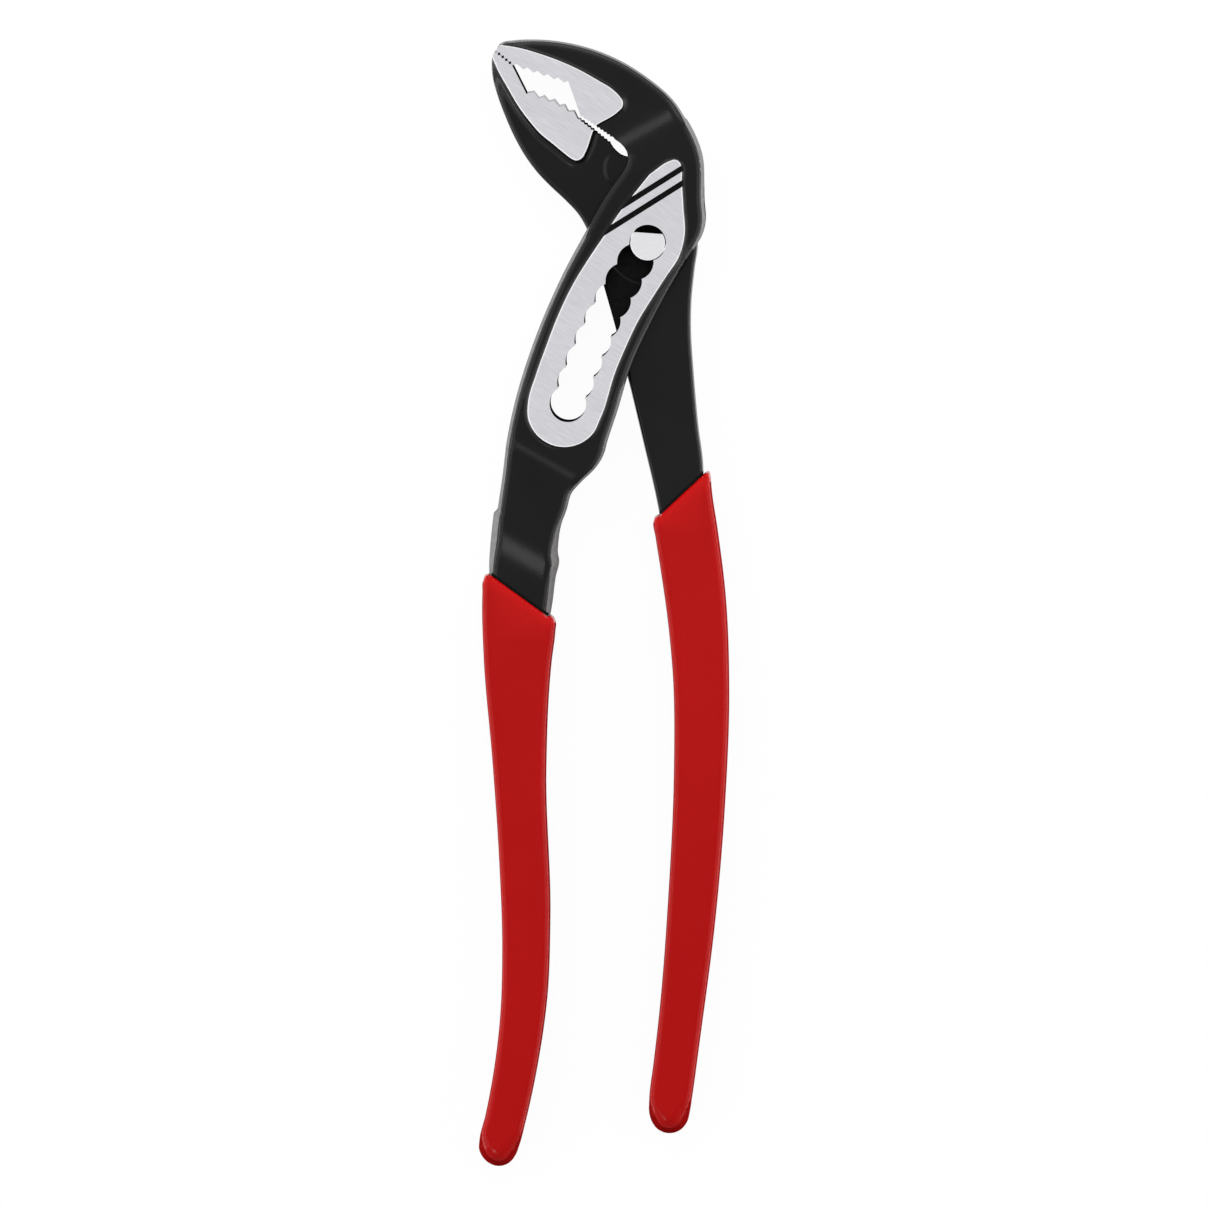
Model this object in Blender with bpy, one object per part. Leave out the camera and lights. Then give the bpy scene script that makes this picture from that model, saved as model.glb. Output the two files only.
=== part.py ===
"""Water pump pliers lying flat: two forged levers, a hinge bolt in a scalloped slot, two dipped grips.

X runs across the tool, +Y points from the handles to the jaws and +Z points up out of the front face.
The origin is the hinge bolt's axis at the ground back face, which the tool lies on.
"""

import math

import bmesh
import bpy
from mathutils import Vector
from mathutils.geometry import interpolate_bezier

MM = 0.001
CORNER = "corner"

# Thicknesses, each over both faces
JOINT_THICKNESS = 15.0 * MM
CHEEK_THICKNESS = 13.8 * MM
UPPER_JAW_THICKNESS = 9.0 * MM
JAW_FACE_THICKNESS = 11.0 * MM
NECK_THICKNESS = 12.4 * MM
SLOTTED_TANG_THICKNESS = 8.4 * MM
INNER_THICKNESS = 7.6 * MM
GRIP_THICKNESS = 11.6 * MM

# Clearances
POCKET_GAP = 0.3 * MM
BOLT_GAP = 0.2 * MM
GRIP_GAP = 0.3 * MM
ROOF_GAP = 0.6 * MM
JAW_GAP = 0.3 * MM

# Hinge bolt and the row of scallops that it locks into
BOLT_RADIUS = 3.85 * MM
BOLT_FLAT_OFFSET = 2.2 * MM
BOLT_FLAT_ANGLE = math.radians(86)
SLOT_RADIUS = 148.0 * MM
SLOT_START_ANGLE = math.radians(145.9)
HOLE_PITCH = 5.0 * MM
HOLE_COUNT = 9

# Pocket between the cheeks, which the inner lever swings in
ROOT_RADIUS = 11.0 * MM
POCKET_END_REACH = 14.4 * MM
POCKET_END_ANGLE = math.radians(-30.5)

# Ground faces
FACE_SHOULDER = 0.7 * MM
SLOT_END_RADIUS = 8.25 * MM
SLOT_END_ANGLES = (math.radians(165), math.radians(348))
SLOT_END_STEPS = 6
STRIPE_WIDTH = 1.15 * MM
STRIPE_DEPTH = 0.4 * MM
STRIPE_SPACING = 2.85 * MM
STRIPE_COUNT = 2
STRIPE_ANGLE = math.radians(32.2)
STRIPE_LENGTH = 26.0 * MM

# Slopes between the thicknesses of the slotted lever, and the round relief beside the throat
JAW_SLOPE_LENGTH = 7.5 * MM
NECK_SLOPE_LENGTH = 5.0 * MM
TANG_SLOPE_LENGTH = 8.5 * MM
RELIEF_RADIUS = 4.85 * MM
RELIEF_DEPTH = 0.5 * MM
RELIEF_SLOPE = 1.1 * MM

# Forged edges
FORGED_EDGE = 1.8 * MM
FORGED_DRAFT = 0.5 * MM
INNER_EDGE = 1.0 * MM
INNER_DRAFT = 0.4 * MM

# Dipped grips
GRIP_WALL = 1.5 * MM
GRIP_EDGE = 1.2 * MM

# Teeth
FRONT_TEETH = 4
UPPER_COARSE_TEETH = 5
REAR_TEETH = 10
FINE_DEPTH = 0.3 * MM
UPPER_DEPTH = 0.66 * MM
UPPER_PEAK = 0.7
LOWER_DEPTH = 0.85 * MM
LOWER_PEAK = 0.4

# Mesh fineness
TURN_STEP = math.radians(10)
ROUND_STEPS = 3
CIRCLE_STEPS = 40
MITRE_LIMIT = 0.5
TIGHT_INSET = 0.8
RELIEF_STEPS = 24
CUT_MARGIN = 10.0 * MM

MID_HEIGHT = JOINT_THICKNESS / 2
HOLE_RADIUS = BOLT_RADIUS + BOLT_GAP
POCKET_WIDTH = INNER_THICKNESS + 2 * POCKET_GAP
SLOT_CENTRE = -SLOT_RADIUS * Vector((math.cos(SLOT_START_ANGLE), math.sin(SLOT_START_ANGLE)))
HOLE_STEP = HOLE_PITCH / SLOT_RADIUS

# Outlines in mm, counter-clockwise: smooth through each point, unless it is marked as a corner
SLOTTED_GRIP_RIGHT = [(-27.6, -197.0), (-24.2, -181.5), (-22.4, -168.0), (-21.7, -150.0), (-22.6, -117.0),
                      (-21.4, -93.0), (-20.6, -86.5)]
SLOTTED_GRIP_LEFT = [(-36.8, -78.0), (-36.5, -92.5), (-34.6, -115.0), (-33.1, -137.0), (-32.4, -157.0),
                     (-33.1, -172.5), (-34.8, -186.0), (-37.6, -199.0)]
SLOTTED_GRIP_END = [(-36.8, -203.6), (-33.3, -205.2), (-29.8, -203.4)]
SLOTTED_GRIP_MOUTH = [(-20.5, -84.4), (-21.3, -82.95), (-22.3, -83.0, CORNER), (-34.9, -73.9, CORNER),
                      (-35.9, -73.8), (-36.65, -75.2)]

INNER_GRIP_RIGHT = [(9.4, -191.5), (11.5, -177.0), (14.9, -150.5), (17.1, -124.0), (18.0, -99.5),
                    (17.1, -77.5), (15.5, -64.5), (14.0, -54.0)]
INNER_GRIP_LEFT = [(1.6, -65.5), (2.7, -72.5), (4.2, -83.0), (5.5, -97.0), (5.7, -117.0),
                   (4.4, -146.0), (2.2, -172.5), (0.1, -191.5)]
INNER_GRIP_END = [(1.0, -196.2), (4.6, -198.0), (8.2, -196.0)]
INNER_GRIP_MOUTH = [(13.85, -51.9), (13.4, -50.9), (12.6, -51.0, CORNER), (2.6, -60.3, CORNER),
                    (1.6, -60.9), (1.15, -62.2)]

SLOTTED_RIGHT = [(-21.3, -80.5), (-20.5, -74.3), (-19.75, -70.7), (-20.05, -69.0), (-19.95, -67.0),
                 (-19.5, -63.0), (-18.6, -59.5), (-17.3, -55.5), (-15.2, -52.7), (-11.9, -49.4),
                 (-10.2, -47.2), (-9.2, -44.7), (-6.9, -37.7), (-3.8, -27.5), (1.3, -16.5), (4.9, -9.8),
                 (9.1, -2.9), (12.2, 2.1), (12.8, 4.8), (12.6, 9.0), (12.0, 20.2), (10.0, 24.7),
                 (6.4, 30.3), (-0.7, 36.8), (-9.5, 41.7), (-18.2, 44.2), (-25.3, 44.9), (-30.0, 44.65)]
SLOTTED_TIP = [(-32.3, 44.2), (-33.2, 43.4), (-33.7, 42.4), (-32.9, 39.6), (-31.0, 36.4)]
SLOTTED_UNDERSIDE = [(-25.0, 31.0), (-14.0, 22.0), (-4.8, 17.0, CORNER)]
SLOTTED_LEFT = [(-5.6, 15.2), (-7.6, 12.8), (-9.8, 9.5), (-13.5, 2.9), (-19.1, -7.5), (-25.3, -21.7),
                (-29.7, -35.9), (-31.3, -43.9), (-32.4, -52.4), (-33.4, -59.2, CORNER),
                (-34.3, -60.2, CORNER), (-34.9, -65.7), (-35.3, -72.3)]

INNER_RIGHT = [(12.1, -50.8), (10.9, -40.2), (9.9, -28.0), (9.5, -20.0), (9.6, -13.0), (10.3, -6.0)]
INNER_JAW_TOP = [(-1.6, 13.0), (-3.4, 17.4), (-6.0, 23.5), (-14.0, 30.5), (-24.0, 38.2), (-29.5, 41.8)]
INNER_TIP = [(-32.0, 42.9), (-33.6, 42.5), (-34.35, 41.5), (-34.65, 40.6)]
INNER_LEFT = [(-34.75, 39.2), (-34.45, 37.0), (-33.1, 32.2), (-31.7, 28.3), (-29.5, 23.3), (-27.1, 19.1),
              (-24.3, 15.5), (-21.1, 12.2), (-18.2, 9.5), (-15.1, 6.0), (-13.1, 2.0), (-9.95, -9.5),
              (-7.15, -19.5), (-4.0, -31.7), (-1.1, -43.9), (1.8, -57.0)]

UPPER_JAW_FACE = [(-14.0, 24.2, CORNER), (-11.2, 26.25, CORNER), (-6.5, 29.2), (-5.7, 30.1), (-5.55, 31.3),
                  (-6.3, 32.5), (-7.7, 33.9), (-11.2, 36.1), (-15.5, 38.5), (-19.3, 40.2), (-24.6, 42.1),
                  (-29.0, 43.2), (-32.3, 43.2, CORNER), (-32.9, 41.8, CORNER), (-30.0, 37.0, CORNER)]
LOWER_JAW_FACE = [(-33.4, 42.0, CORNER), (-33.9, 40.3, CORNER), (-33.0, 37.7), (-31.5, 35.05),
                  (-28.4, 29.8), (-26.2, 26.9), (-23.95, 24.3), (-21.1, 21.8), (-18.3, 19.4), (-17.2, 18.5),
                  (-15.8, 17.9), (-14.6, 18.5), (-13.9, 19.8), (-12.3, 24.5, CORNER),
                  (-11.0, 28.0, CORNER), (-30.0, 43.0, CORNER)]
SLOT_FACE_LEFT = [(-3.6, 10.2), (-6.0, 7.1), (-9.6, 1.7), (-12.7, -2.9), (-16.9, -9.8), (-19.8, -15.9),
                  (-22.8, -23.7), (-24.9, -29.6)]
SLOT_FACE_RIGHT = [(-7.1, -28.4), (-5.0, -23.4), (-2.0, -17.1), (0.95, -12.3), (3.9, -7.7), (6.9, -3.1),
                   (8.15, 1.5), (7.9, 8.0), (7.55, 14.0), (7.45, 17.1)]
SLOT_FACE_TOP_END = [(6.9, 18.1), (5.85, 18.5), (5.0, 18.25), (0.4, 15.2, CORNER)]

# Places in mm
SLOT_END_CENTRE = Vector((-18.5, -37.3))
FIRST_STRIPE = Vector((1.95, 13.0))
RELIEF_CENTRE = Vector((-5.2, 16.4))

# Bite lines in mm, from the tip to the throat
FRONT_BITE = [Vector((-33.9, 42.6)), Vector((-29.9, 39.35))]
UPPER_COARSE = [Vector((-29.0, 39.6)), Vector((-17.7, 35.9))]
UPPER_REAR = [Vector((-15.05, 28.5)), Vector((-7.8, 23.5))]
UPPER_THROAT = [Vector((-7.3, 22.9)), Vector((-6.1, 22.1)), Vector((-5.3, 21.3)), Vector((-4.65, 20.4)),
                Vector((-4.4, 19.3))]
LOWER_COARSE = [Vector((-26.8, 33.1)), Vector((-24.2, 31.9)), Vector((-22.0, 31.2)), Vector((-19.7, 30.2)),
                Vector((-17.7, 29.0)), Vector((-15.6, 27.5))]
LOWER_REAR = [Vector((-15.5, 27.4)), Vector((-8.3, 21.6))]
LOWER_THROAT = [Vector((-7.7, 20.7)), Vector((-7.0, 20.0)), Vector((-6.1, 19.3)), Vector((-5.1, 18.85)),
                Vector((-4.4, 18.7))]
UPPER_WASTE = [Vector((-4.8, 17.0)), Vector((-14.0, 13.0)), Vector((-45.0, 30.0)), Vector((-40.0, 46.0))]
LOWER_WASTE = [Vector((-2.0, 18.4)), Vector((5.0, 24.0)), Vector((-25.0, 60.0)), Vector((-40.0, 46.0))]

# Changes of thickness on the slotted lever: where one starts, in mm, the way it thins, and its length
JAW_SLOPE = (Vector((2.6, 22.8)), math.radians(118.7), JAW_SLOPE_LENGTH)
NECK_SLOPE = (Vector((-22.3, -45.8)), math.radians(-119.3), NECK_SLOPE_LENGTH)
TANG_SLOPE = (Vector((-26.3, -65.4)), math.radians(-119.5), TANG_SLOPE_LENGTH)


def clear_scene():
    for old in list(bpy.data.objects):
        bpy.data.objects.remove(old, do_unlink=True)


def material(name, colour, roughness, metallic):
    made = bpy.data.materials.new(name)
    made.use_nodes = True
    shader = made.node_tree.nodes["Principled BSDF"]
    shader.inputs["Base Color"].default_value = (*colour, 1.0)
    shader.inputs["Roughness"].default_value = roughness
    shader.inputs["Metallic"].default_value = metallic
    return made


# Plan outlines
def tangent(before, here, after):
    """Direction of a smooth curve at a point, weighted towards the nearer neighbour."""
    first = here - before
    second = after - here
    return (first / first.length_squared + second / second.length_squared).normalized()


def smooth_outline(points):
    """Closed outline in metres, smooth through every point that isn't marked as a corner."""
    knots = [Vector(point[:2]) * MM for point in points]
    sharp = [len(point) > 2 for point in points]
    count = len(points)
    outline = []
    for i in range(count):
        before, start, end, after = (knots[(i + k) % count] for k in (-1, 0, 1, 2))
        chord = end - start
        leave = chord.normalized() if sharp[i] else tangent(before, start, end)
        arrive = chord.normalized() if sharp[(i + 1) % count] else tangent(start, end, after)
        reach = chord.length / 3
        turn = leave.angle(chord) + arrive.angle(chord)
        steps = 1 + math.ceil(turn / TURN_STEP)
        span = interpolate_bezier(start, start + leave * reach, end - arrive * reach, end, steps + 1)
        outline += [Vector(p[:2]) for p in span[:-1]]
    return outline


def inset(outline, distance):
    """Move a counter-clockwise outline inwards, by less where it turns on a tighter radius."""
    moved = []
    for i, here in enumerate(outline):
        first = here - outline[i - 1]
        second = outline[(i + 1) % len(outline)] - here
        reach = (first.length + second.length) / 2
        first.normalize()
        second.normalize()
        turn = math.asin(max(-1.0, min(1.0, first.cross(second))))
        radius = reach / turn if turn > 0 else math.inf
        normal = Vector((-first.y - second.y, first.x + second.x)).normalized()
        mitre = max(MITRE_LIMIT, normal.dot(Vector((-first.y, first.x))))
        moved.append(here + normal * min(distance, TIGHT_INSET * radius) / mitre)
    return moved


def arc(centre, radius, start, end, steps):
    angles = [start + (end - start) * i / steps for i in range(steps + 1)]
    return [centre + radius * Vector((math.cos(a), math.sin(a))) for a in angles]


def hole_centre(index):
    angle = SLOT_START_ANGLE + index * HOLE_STEP
    return SLOT_CENTRE + SLOT_RADIUS * Vector((math.cos(angle), math.sin(angle)))


def moved_edge(points, distance):
    """Shift a handle's edge sideways, in mm."""
    return [(x + distance / MM, y) for x, y in points]


def saw(line, count, depth, peak, shift):
    """Teeth on each span of a line in mm, all moved by a shift: roots on the line, peaks to its right."""
    row = []
    for start, end in zip(line, line[1:]):
        run = end - start
        right = Vector((run.y, -run.x)).normalized() / MM
        for i in range(count):
            row.append(start + run * i / count + right * shift)
            row.append(start + run * (i + peak) / count + right * (depth + shift))
    return row + [line[-1] + right * shift]


# Solids
def new_object(name, mesh_builder, finish=None):
    mesh = bpy.data.meshes.new(name)
    bmesh.ops.recalc_face_normals(mesh_builder, faces=mesh_builder.faces[:])
    mesh_builder.to_mesh(mesh)
    mesh_builder.free()
    made = bpy.data.objects.new(name, mesh)
    bpy.context.collection.objects.link(made)
    if finish:
        mesh.materials.append(finish)
    return made


def stacked(outlines_and_heights):
    """Closed body through a stack of outlines with matching points, lowest first."""
    builder = bmesh.new()
    rings = []
    for outline, height in outlines_and_heights:
        rings.append([builder.verts.new((p.x, p.y, height)) for p in outline])
    count = len(rings[0])
    for lower, upper in zip(rings, rings[1:]):
        for i in range(count):
            j = (i + 1) % count
            builder.faces.new((lower[i], lower[j], upper[j], upper[i]))
    builder.faces.new(list(reversed(rings[0])))
    builder.faces.new(rings[-1])
    return builder


def slab(outline, thickness, edge=0.0, draft=0.0):
    """Plate in the middle plane, with drafted sides and rounded edges on both faces."""
    half = thickness / 2
    levels = [(draft, half - edge)]
    if edge:
        turns = [math.pi / 2 * k / ROUND_STEPS for k in range(1, ROUND_STEPS + 1)]
        levels += [(draft + edge * (1 - math.cos(a)), half - edge * (1 - math.sin(a))) for a in turns]
    upper = [(inset(outline, distance), height) for distance, height in levels]
    lower = [(ring, -height) for ring, height in reversed(upper)]
    middle = [(outline, 0.0)] if draft else []
    return stacked(lower + middle + upper)


def raised_face(outline, thickness, foot_thickness):
    """Ground face that stands on a sloped foot on both sides."""
    top = thickness / 2
    foot = foot_thickness / 2
    wide = inset(outline, -FACE_SHOULDER)
    return stacked([(outline, -top), (wide, -foot), (wide, foot), (outline, top)])


def thin_down(builder, full, changes):
    """Scale the thickness down past each sloped line."""
    for (place, way, slope), _ in changes:
        direction = Vector((math.cos(way), math.sin(way), 0))
        for along in (0.0, slope):
            geometry = builder.verts[:] + builder.edges[:] + builder.faces[:]
            point = place.to_3d() * MM + direction * along
            bmesh.ops.bisect_plane(builder, geom=geometry, dist=1e-7, plane_co=point, plane_no=direction)
    for vert in builder.verts:
        left = full
        for (place, way, slope), lost in changes:
            along = (vert.co.to_2d() - place * MM).dot(Vector((math.cos(way), math.sin(way))))
            left -= lost * min(1.0, max(0.0, along / slope))
        vert.co.z *= left / full


def cutter(name, builder):
    made = new_object(name, builder)
    made.hide_render = True
    made.display_type = "WIRE"
    return made


def combine(target, tool, operation):
    change = target.modifiers.new(tool.name, "BOOLEAN")
    change.operation = operation
    change.object = tool
    tool.parent = target


def shade(made, degrees=35):
    made.data.shade_smooth()
    made.data.set_sharp_from_angle(angle=math.radians(degrees))


# Cutters and faces that the pieces share
def bite(front, coarse_row, rear_row, throat, waste):
    line = front + coarse_row + rear_row + throat + waste
    return slab([point * MM for point in line], JOINT_THICKNESS + CUT_MARGIN)


def upper_bite():
    front = list(reversed(saw(FRONT_BITE[::-1], FRONT_TEETH, -FINE_DEPTH, 0.5, JAW_GAP / 2 + FINE_DEPTH)))
    coarse = saw(UPPER_COARSE, UPPER_COARSE_TEETH, UPPER_DEPTH, UPPER_PEAK, 0.0)
    rear = saw(UPPER_REAR, REAR_TEETH, FINE_DEPTH, 0.5, 0.0)
    return bite(front, coarse, rear, UPPER_THROAT, UPPER_WASTE)


def lower_bite():
    front = saw(FRONT_BITE, FRONT_TEETH, -FINE_DEPTH, 0.5, JAW_GAP / 2 + FINE_DEPTH)
    coarse = saw(LOWER_COARSE, 1, -LOWER_DEPTH, LOWER_PEAK, 0.0)
    rear = saw(LOWER_REAR, REAR_TEETH, -FINE_DEPTH, 0.5, 0.0)
    return bite(front, coarse, rear, LOWER_THROAT, LOWER_WASTE)


def slot_outline():
    """Row of round holes that run into each other along the slot's arc, counter-clockwise."""
    half_turn = math.asin(HOLE_PITCH / 2 / HOLE_RADIUS)
    outline = []
    for side in (0, 1):
        order = range(HOLE_COUNT) if side == 0 else range(HOLE_COUNT - 1, -1, -1)
        for index in order:
            out = SLOT_START_ANGLE + index * HOLE_STEP + math.pi * side
            start = out - half_turn
            end = out + half_turn
            if (side == 0 and index == 0) or (side == 1 and index == HOLE_COUNT - 1):
                start = out - math.pi / 2
            if (side == 0 and index == HOLE_COUNT - 1) or (side == 1 and index == 0):
                end = out + math.pi / 2
            steps = max(4, round(CIRCLE_STEPS * (end - start) / math.tau))
            outline += arc(hole_centre(index), HOLE_RADIUS, start, end, steps)[:-1]
    return outline


def slot_face_outline():
    """Ground face round the slot, with a round lower end and a four-sided head."""
    end = arc(SLOT_END_CENTRE, SLOT_END_RADIUS / MM, *SLOT_END_ANGLES, SLOT_END_STEPS)
    return smooth_outline(SLOT_FACE_LEFT + [tuple(p) for p in end] + SLOT_FACE_RIGHT + SLOT_FACE_TOP_END)


def pocket_outline():
    """Room for the inner lever between the cheeks, open on both sides."""
    along = Vector((math.cos(POCKET_END_ANGLE), math.sin(POCKET_END_ANGLE)))
    down = Vector((along.y, -along.x))
    end = hole_centre(HOLE_COUNT - 1) + down * POCKET_END_REACH
    roof = ROOT_RADIUS + ROOF_GAP
    side = 3 * CUT_MARGIN
    throat = Vector(INNER_JAW_TOP[1]) * MM
    root = Vector(INNER_JAW_TOP[0]) * MM
    out = Vector((1, 0.4)).normalized() * ROOF_GAP
    mouth = UPPER_THROAT[-1] * MM
    right = Vector((side, roof))
    corner = Vector((roof - ROOT_RADIUS, roof))
    left = mouth + Vector((-1.5 * CUT_MARGIN, 0))
    return [end - along * side, end + along * side, right, corner, root + out, throat + out, mouth, left]


def tang(right, left, distance):
    """Edges of the steel inside a grip, in mm: the grip's own edges moved in, joined by a round end."""
    inner_right = moved_edge(right, -distance)
    inner_left = moved_edge(left, distance)
    low_left = Vector(inner_left[-1])
    low_right = Vector(inner_right[0])
    centre = (low_left + low_right) / 2
    spoke = low_left - centre
    start = math.atan2(spoke.y, spoke.x)
    end = arc(centre, spoke.length, start, start + math.pi, 4)[1:-1]
    return inner_left, [tuple(p) for p in end], inner_right


# The pieces
def slotted_lever(finish):
    sleeve = GRIP_WALL + GRIP_GAP
    left, end, right = tang(SLOTTED_GRIP_RIGHT, SLOTTED_GRIP_LEFT, sleeve)
    head = SLOTTED_RIGHT + SLOTTED_TIP + SLOTTED_UNDERSIDE + SLOTTED_LEFT
    outline = smooth_outline(end + right + head + left)
    builder = slab(outline, CHEEK_THICKNESS, FORGED_EDGE, FORGED_DRAFT)
    thin_down(builder, CHEEK_THICKNESS, [
        (JAW_SLOPE, CHEEK_THICKNESS - UPPER_JAW_THICKNESS),
        (NECK_SLOPE, CHEEK_THICKNESS - NECK_THICKNESS),
        (TANG_SLOPE, NECK_THICKNESS - SLOTTED_TANG_THICKNESS)])
    lever = new_object("slotted_lever", builder, finish)
    lever.location.z = MID_HEIGHT
    jaw_face = raised_face(smooth_outline(UPPER_JAW_FACE), JAW_FACE_THICKNESS, UPPER_JAW_THICKNESS)
    slot_face = raised_face(slot_face_outline(), JOINT_THICKNESS, CHEEK_THICKNESS)
    combine(lever, cutter("upper_jaw_face", jaw_face), "UNION")
    combine(lever, cutter("slot_face", slot_face), "UNION")
    combine(lever, cutter("upper_bite", upper_bite()), "DIFFERENCE")
    combine(lever, cutter("slot", slab(slot_outline(), JOINT_THICKNESS + CUT_MARGIN)), "DIFFERENCE")
    combine(lever, cutter("pocket", slab(pocket_outline(), POCKET_WIDTH)), "DIFFERENCE")
    for index in range(STRIPE_COUNT):
        for face in (-1, 1):
            combine(lever, stripe(index, face), "DIFFERENCE")
    shade(lever)
    return lever


def stripe(index, face):
    """Shallow groove across the ground face."""
    down = Vector((math.sin(STRIPE_ANGLE), -math.cos(STRIPE_ANGLE)))
    place = FIRST_STRIPE * MM + down * STRIPE_SPACING * index
    builder = bmesh.new()
    bmesh.ops.create_cube(builder, size=1.0)
    bmesh.ops.scale(builder, vec=(STRIPE_LENGTH, STRIPE_WIDTH, 2 * STRIPE_DEPTH), verts=builder.verts[:])
    groove = cutter(f"stripe_{index}_{face}", builder)
    groove.rotation_euler.z = STRIPE_ANGLE
    groove.location = (place.x, place.y, face * JOINT_THICKNESS / 2)
    return groove


def hinge_bolt(finish):
    builder = bmesh.new()
    bmesh.ops.create_cone(builder, cap_ends=True, segments=CIRCLE_STEPS, radius1=BOLT_RADIUS,
                          radius2=BOLT_RADIUS, depth=JOINT_THICKNESS)
    bolt = new_object("hinge_bolt", builder, finish)
    for face in (-1, 1):
        builder = bmesh.new()
        bmesh.ops.create_cube(builder, size=2 * BOLT_RADIUS)
        flat = cutter(f"bolt_flat_{face}", builder)
        reach = BOLT_FLAT_OFFSET + BOLT_RADIUS
        height = face * (POCKET_WIDTH / 2 + BOLT_RADIUS)
        flat.location = (reach * math.cos(BOLT_FLAT_ANGLE), reach * math.sin(BOLT_FLAT_ANGLE), height)
        flat.rotation_euler.z = BOLT_FLAT_ANGLE
        combine(bolt, flat, "DIFFERENCE")
    shade(bolt)
    return bolt


def inner_lever(finish):
    sleeve = GRIP_WALL + GRIP_GAP
    left, end, right = tang(INNER_GRIP_RIGHT, INNER_GRIP_LEFT, sleeve)
    root = [tuple(p / MM) for p in arc(Vector((0, 0)), ROOT_RADIUS, 0, math.pi / 2, 4)]
    head = INNER_RIGHT + root + INNER_JAW_TOP + INNER_TIP + INNER_LEFT
    outline = smooth_outline(end + right + head + left)
    lever = new_object("inner_lever", slab(outline, INNER_THICKNESS, INNER_EDGE, INNER_DRAFT), finish)
    jaw_face = raised_face(smooth_outline(LOWER_JAW_FACE), JAW_FACE_THICKNESS, INNER_THICKNESS)
    bore = arc(Vector((0, 0)), HOLE_RADIUS, 0, math.tau, CIRCLE_STEPS)[:-1]
    combine(lever, cutter("lower_jaw_face", jaw_face), "UNION")
    combine(lever, cutter("lower_bite", lower_bite()), "DIFFERENCE")
    combine(lever, cutter("bore", slab(bore, INNER_THICKNESS + CUT_MARGIN)), "DIFFERENCE")
    for face in (-1, 1):
        combine(lever, relief(face), "DIFFERENCE")
    shade(lever)
    return lever


def relief(face):
    """Shallow round hollow with a sloped edge, beside the throat and the other lever's cheek."""
    top = INNER_THICKNESS / 2
    centre = RELIEF_CENTRE * MM
    wide = arc(centre, RELIEF_RADIUS, 0, math.tau, RELIEF_STEPS)[:-1]
    narrow = arc(centre, RELIEF_RADIUS - RELIEF_SLOPE, 0, math.tau, RELIEF_STEPS)[:-1]
    grown = arc(centre, RELIEF_RADIUS + RELIEF_SLOPE, 0, math.tau, RELIEF_STEPS)[:-1]
    levels = [(narrow, top - RELIEF_DEPTH), (wide, top), (grown, top + RELIEF_DEPTH)]
    return cutter(f"relief_{face}", stacked([(ring, face * height) for ring, height in levels]))


def grip(name, right, mouth, left, end, neck_right, neck_left, steel_thickness, finish):
    """Dipped sleeve, open at the mouth, with room for the steel and the start of its neck cut out."""
    outline = smooth_outline(right + mouth + left + end)
    sleeve = new_object(name, slab(outline, GRIP_THICKNESS, GRIP_EDGE), finish)
    inner_left, low, inner_right = tang(right, left, GRIP_WALL)
    neck = moved_edge(neck_right, GRIP_GAP) + moved_edge(neck_left, -GRIP_GAP)
    room = smooth_outline(low + inner_right + neck + inner_left)
    combine(sleeve, cutter(name + "_room", slab(room, steel_thickness + 2 * GRIP_GAP)), "DIFFERENCE")
    shade(sleeve)
    return sleeve


def build():
    clear_scene()
    black = material("black_oxide_steel", (0.016, 0.016, 0.017), 0.45, 0.6)
    bright = material("ground_steel", (0.72, 0.72, 0.74), 0.35, 1.0)
    red = material("red_dipped_plastic", (0.43, 0.010, 0.009), 0.4, 0.0)
    slotted = slotted_lever(black)
    slotted_grip = grip("slotted_lever_grip", SLOTTED_GRIP_RIGHT, SLOTTED_GRIP_MOUTH, SLOTTED_GRIP_LEFT,
                        SLOTTED_GRIP_END, SLOTTED_RIGHT[:2], SLOTTED_LEFT[-2:], SLOTTED_TANG_THICKNESS, red)
    slot_centre = bpy.data.objects.new("slot_centre", None)
    bpy.context.collection.objects.link(slot_centre)
    slot_centre.location = (SLOT_CENTRE.x, SLOT_CENTRE.y, 0)
    bolt = hinge_bolt(bright)
    bolt.location = (-SLOT_CENTRE.x, -SLOT_CENTRE.y, 0)
    inner = inner_lever(black)
    inner_grip = grip("inner_lever_grip", INNER_GRIP_RIGHT, INNER_GRIP_MOUTH, INNER_GRIP_LEFT,
                      INNER_GRIP_END, INNER_RIGHT[:2], INNER_LEFT[-2:], INNER_THICKNESS, red)
    slotted_grip.parent = slotted
    slot_centre.parent = slotted
    bolt.parent = slot_centre
    inner.parent = bolt
    inner_grip.parent = inner


build()
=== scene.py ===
"""Looks of the water pump pliers: black forged levers with ground faces, a hinge bolt and red dipped grips.

Plan sizes are in millimetres along the frame's X and Y. Heights are in millimetres above the tool's middle
plane, and each piece is the same on both sides of it.
"""

import math
from typing import NamedTuple

import bpy
import numpy as np
from mathutils import Euler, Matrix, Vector
from mathutils.geometry import delaunay_2d_cdt, interpolate_bezier


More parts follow.
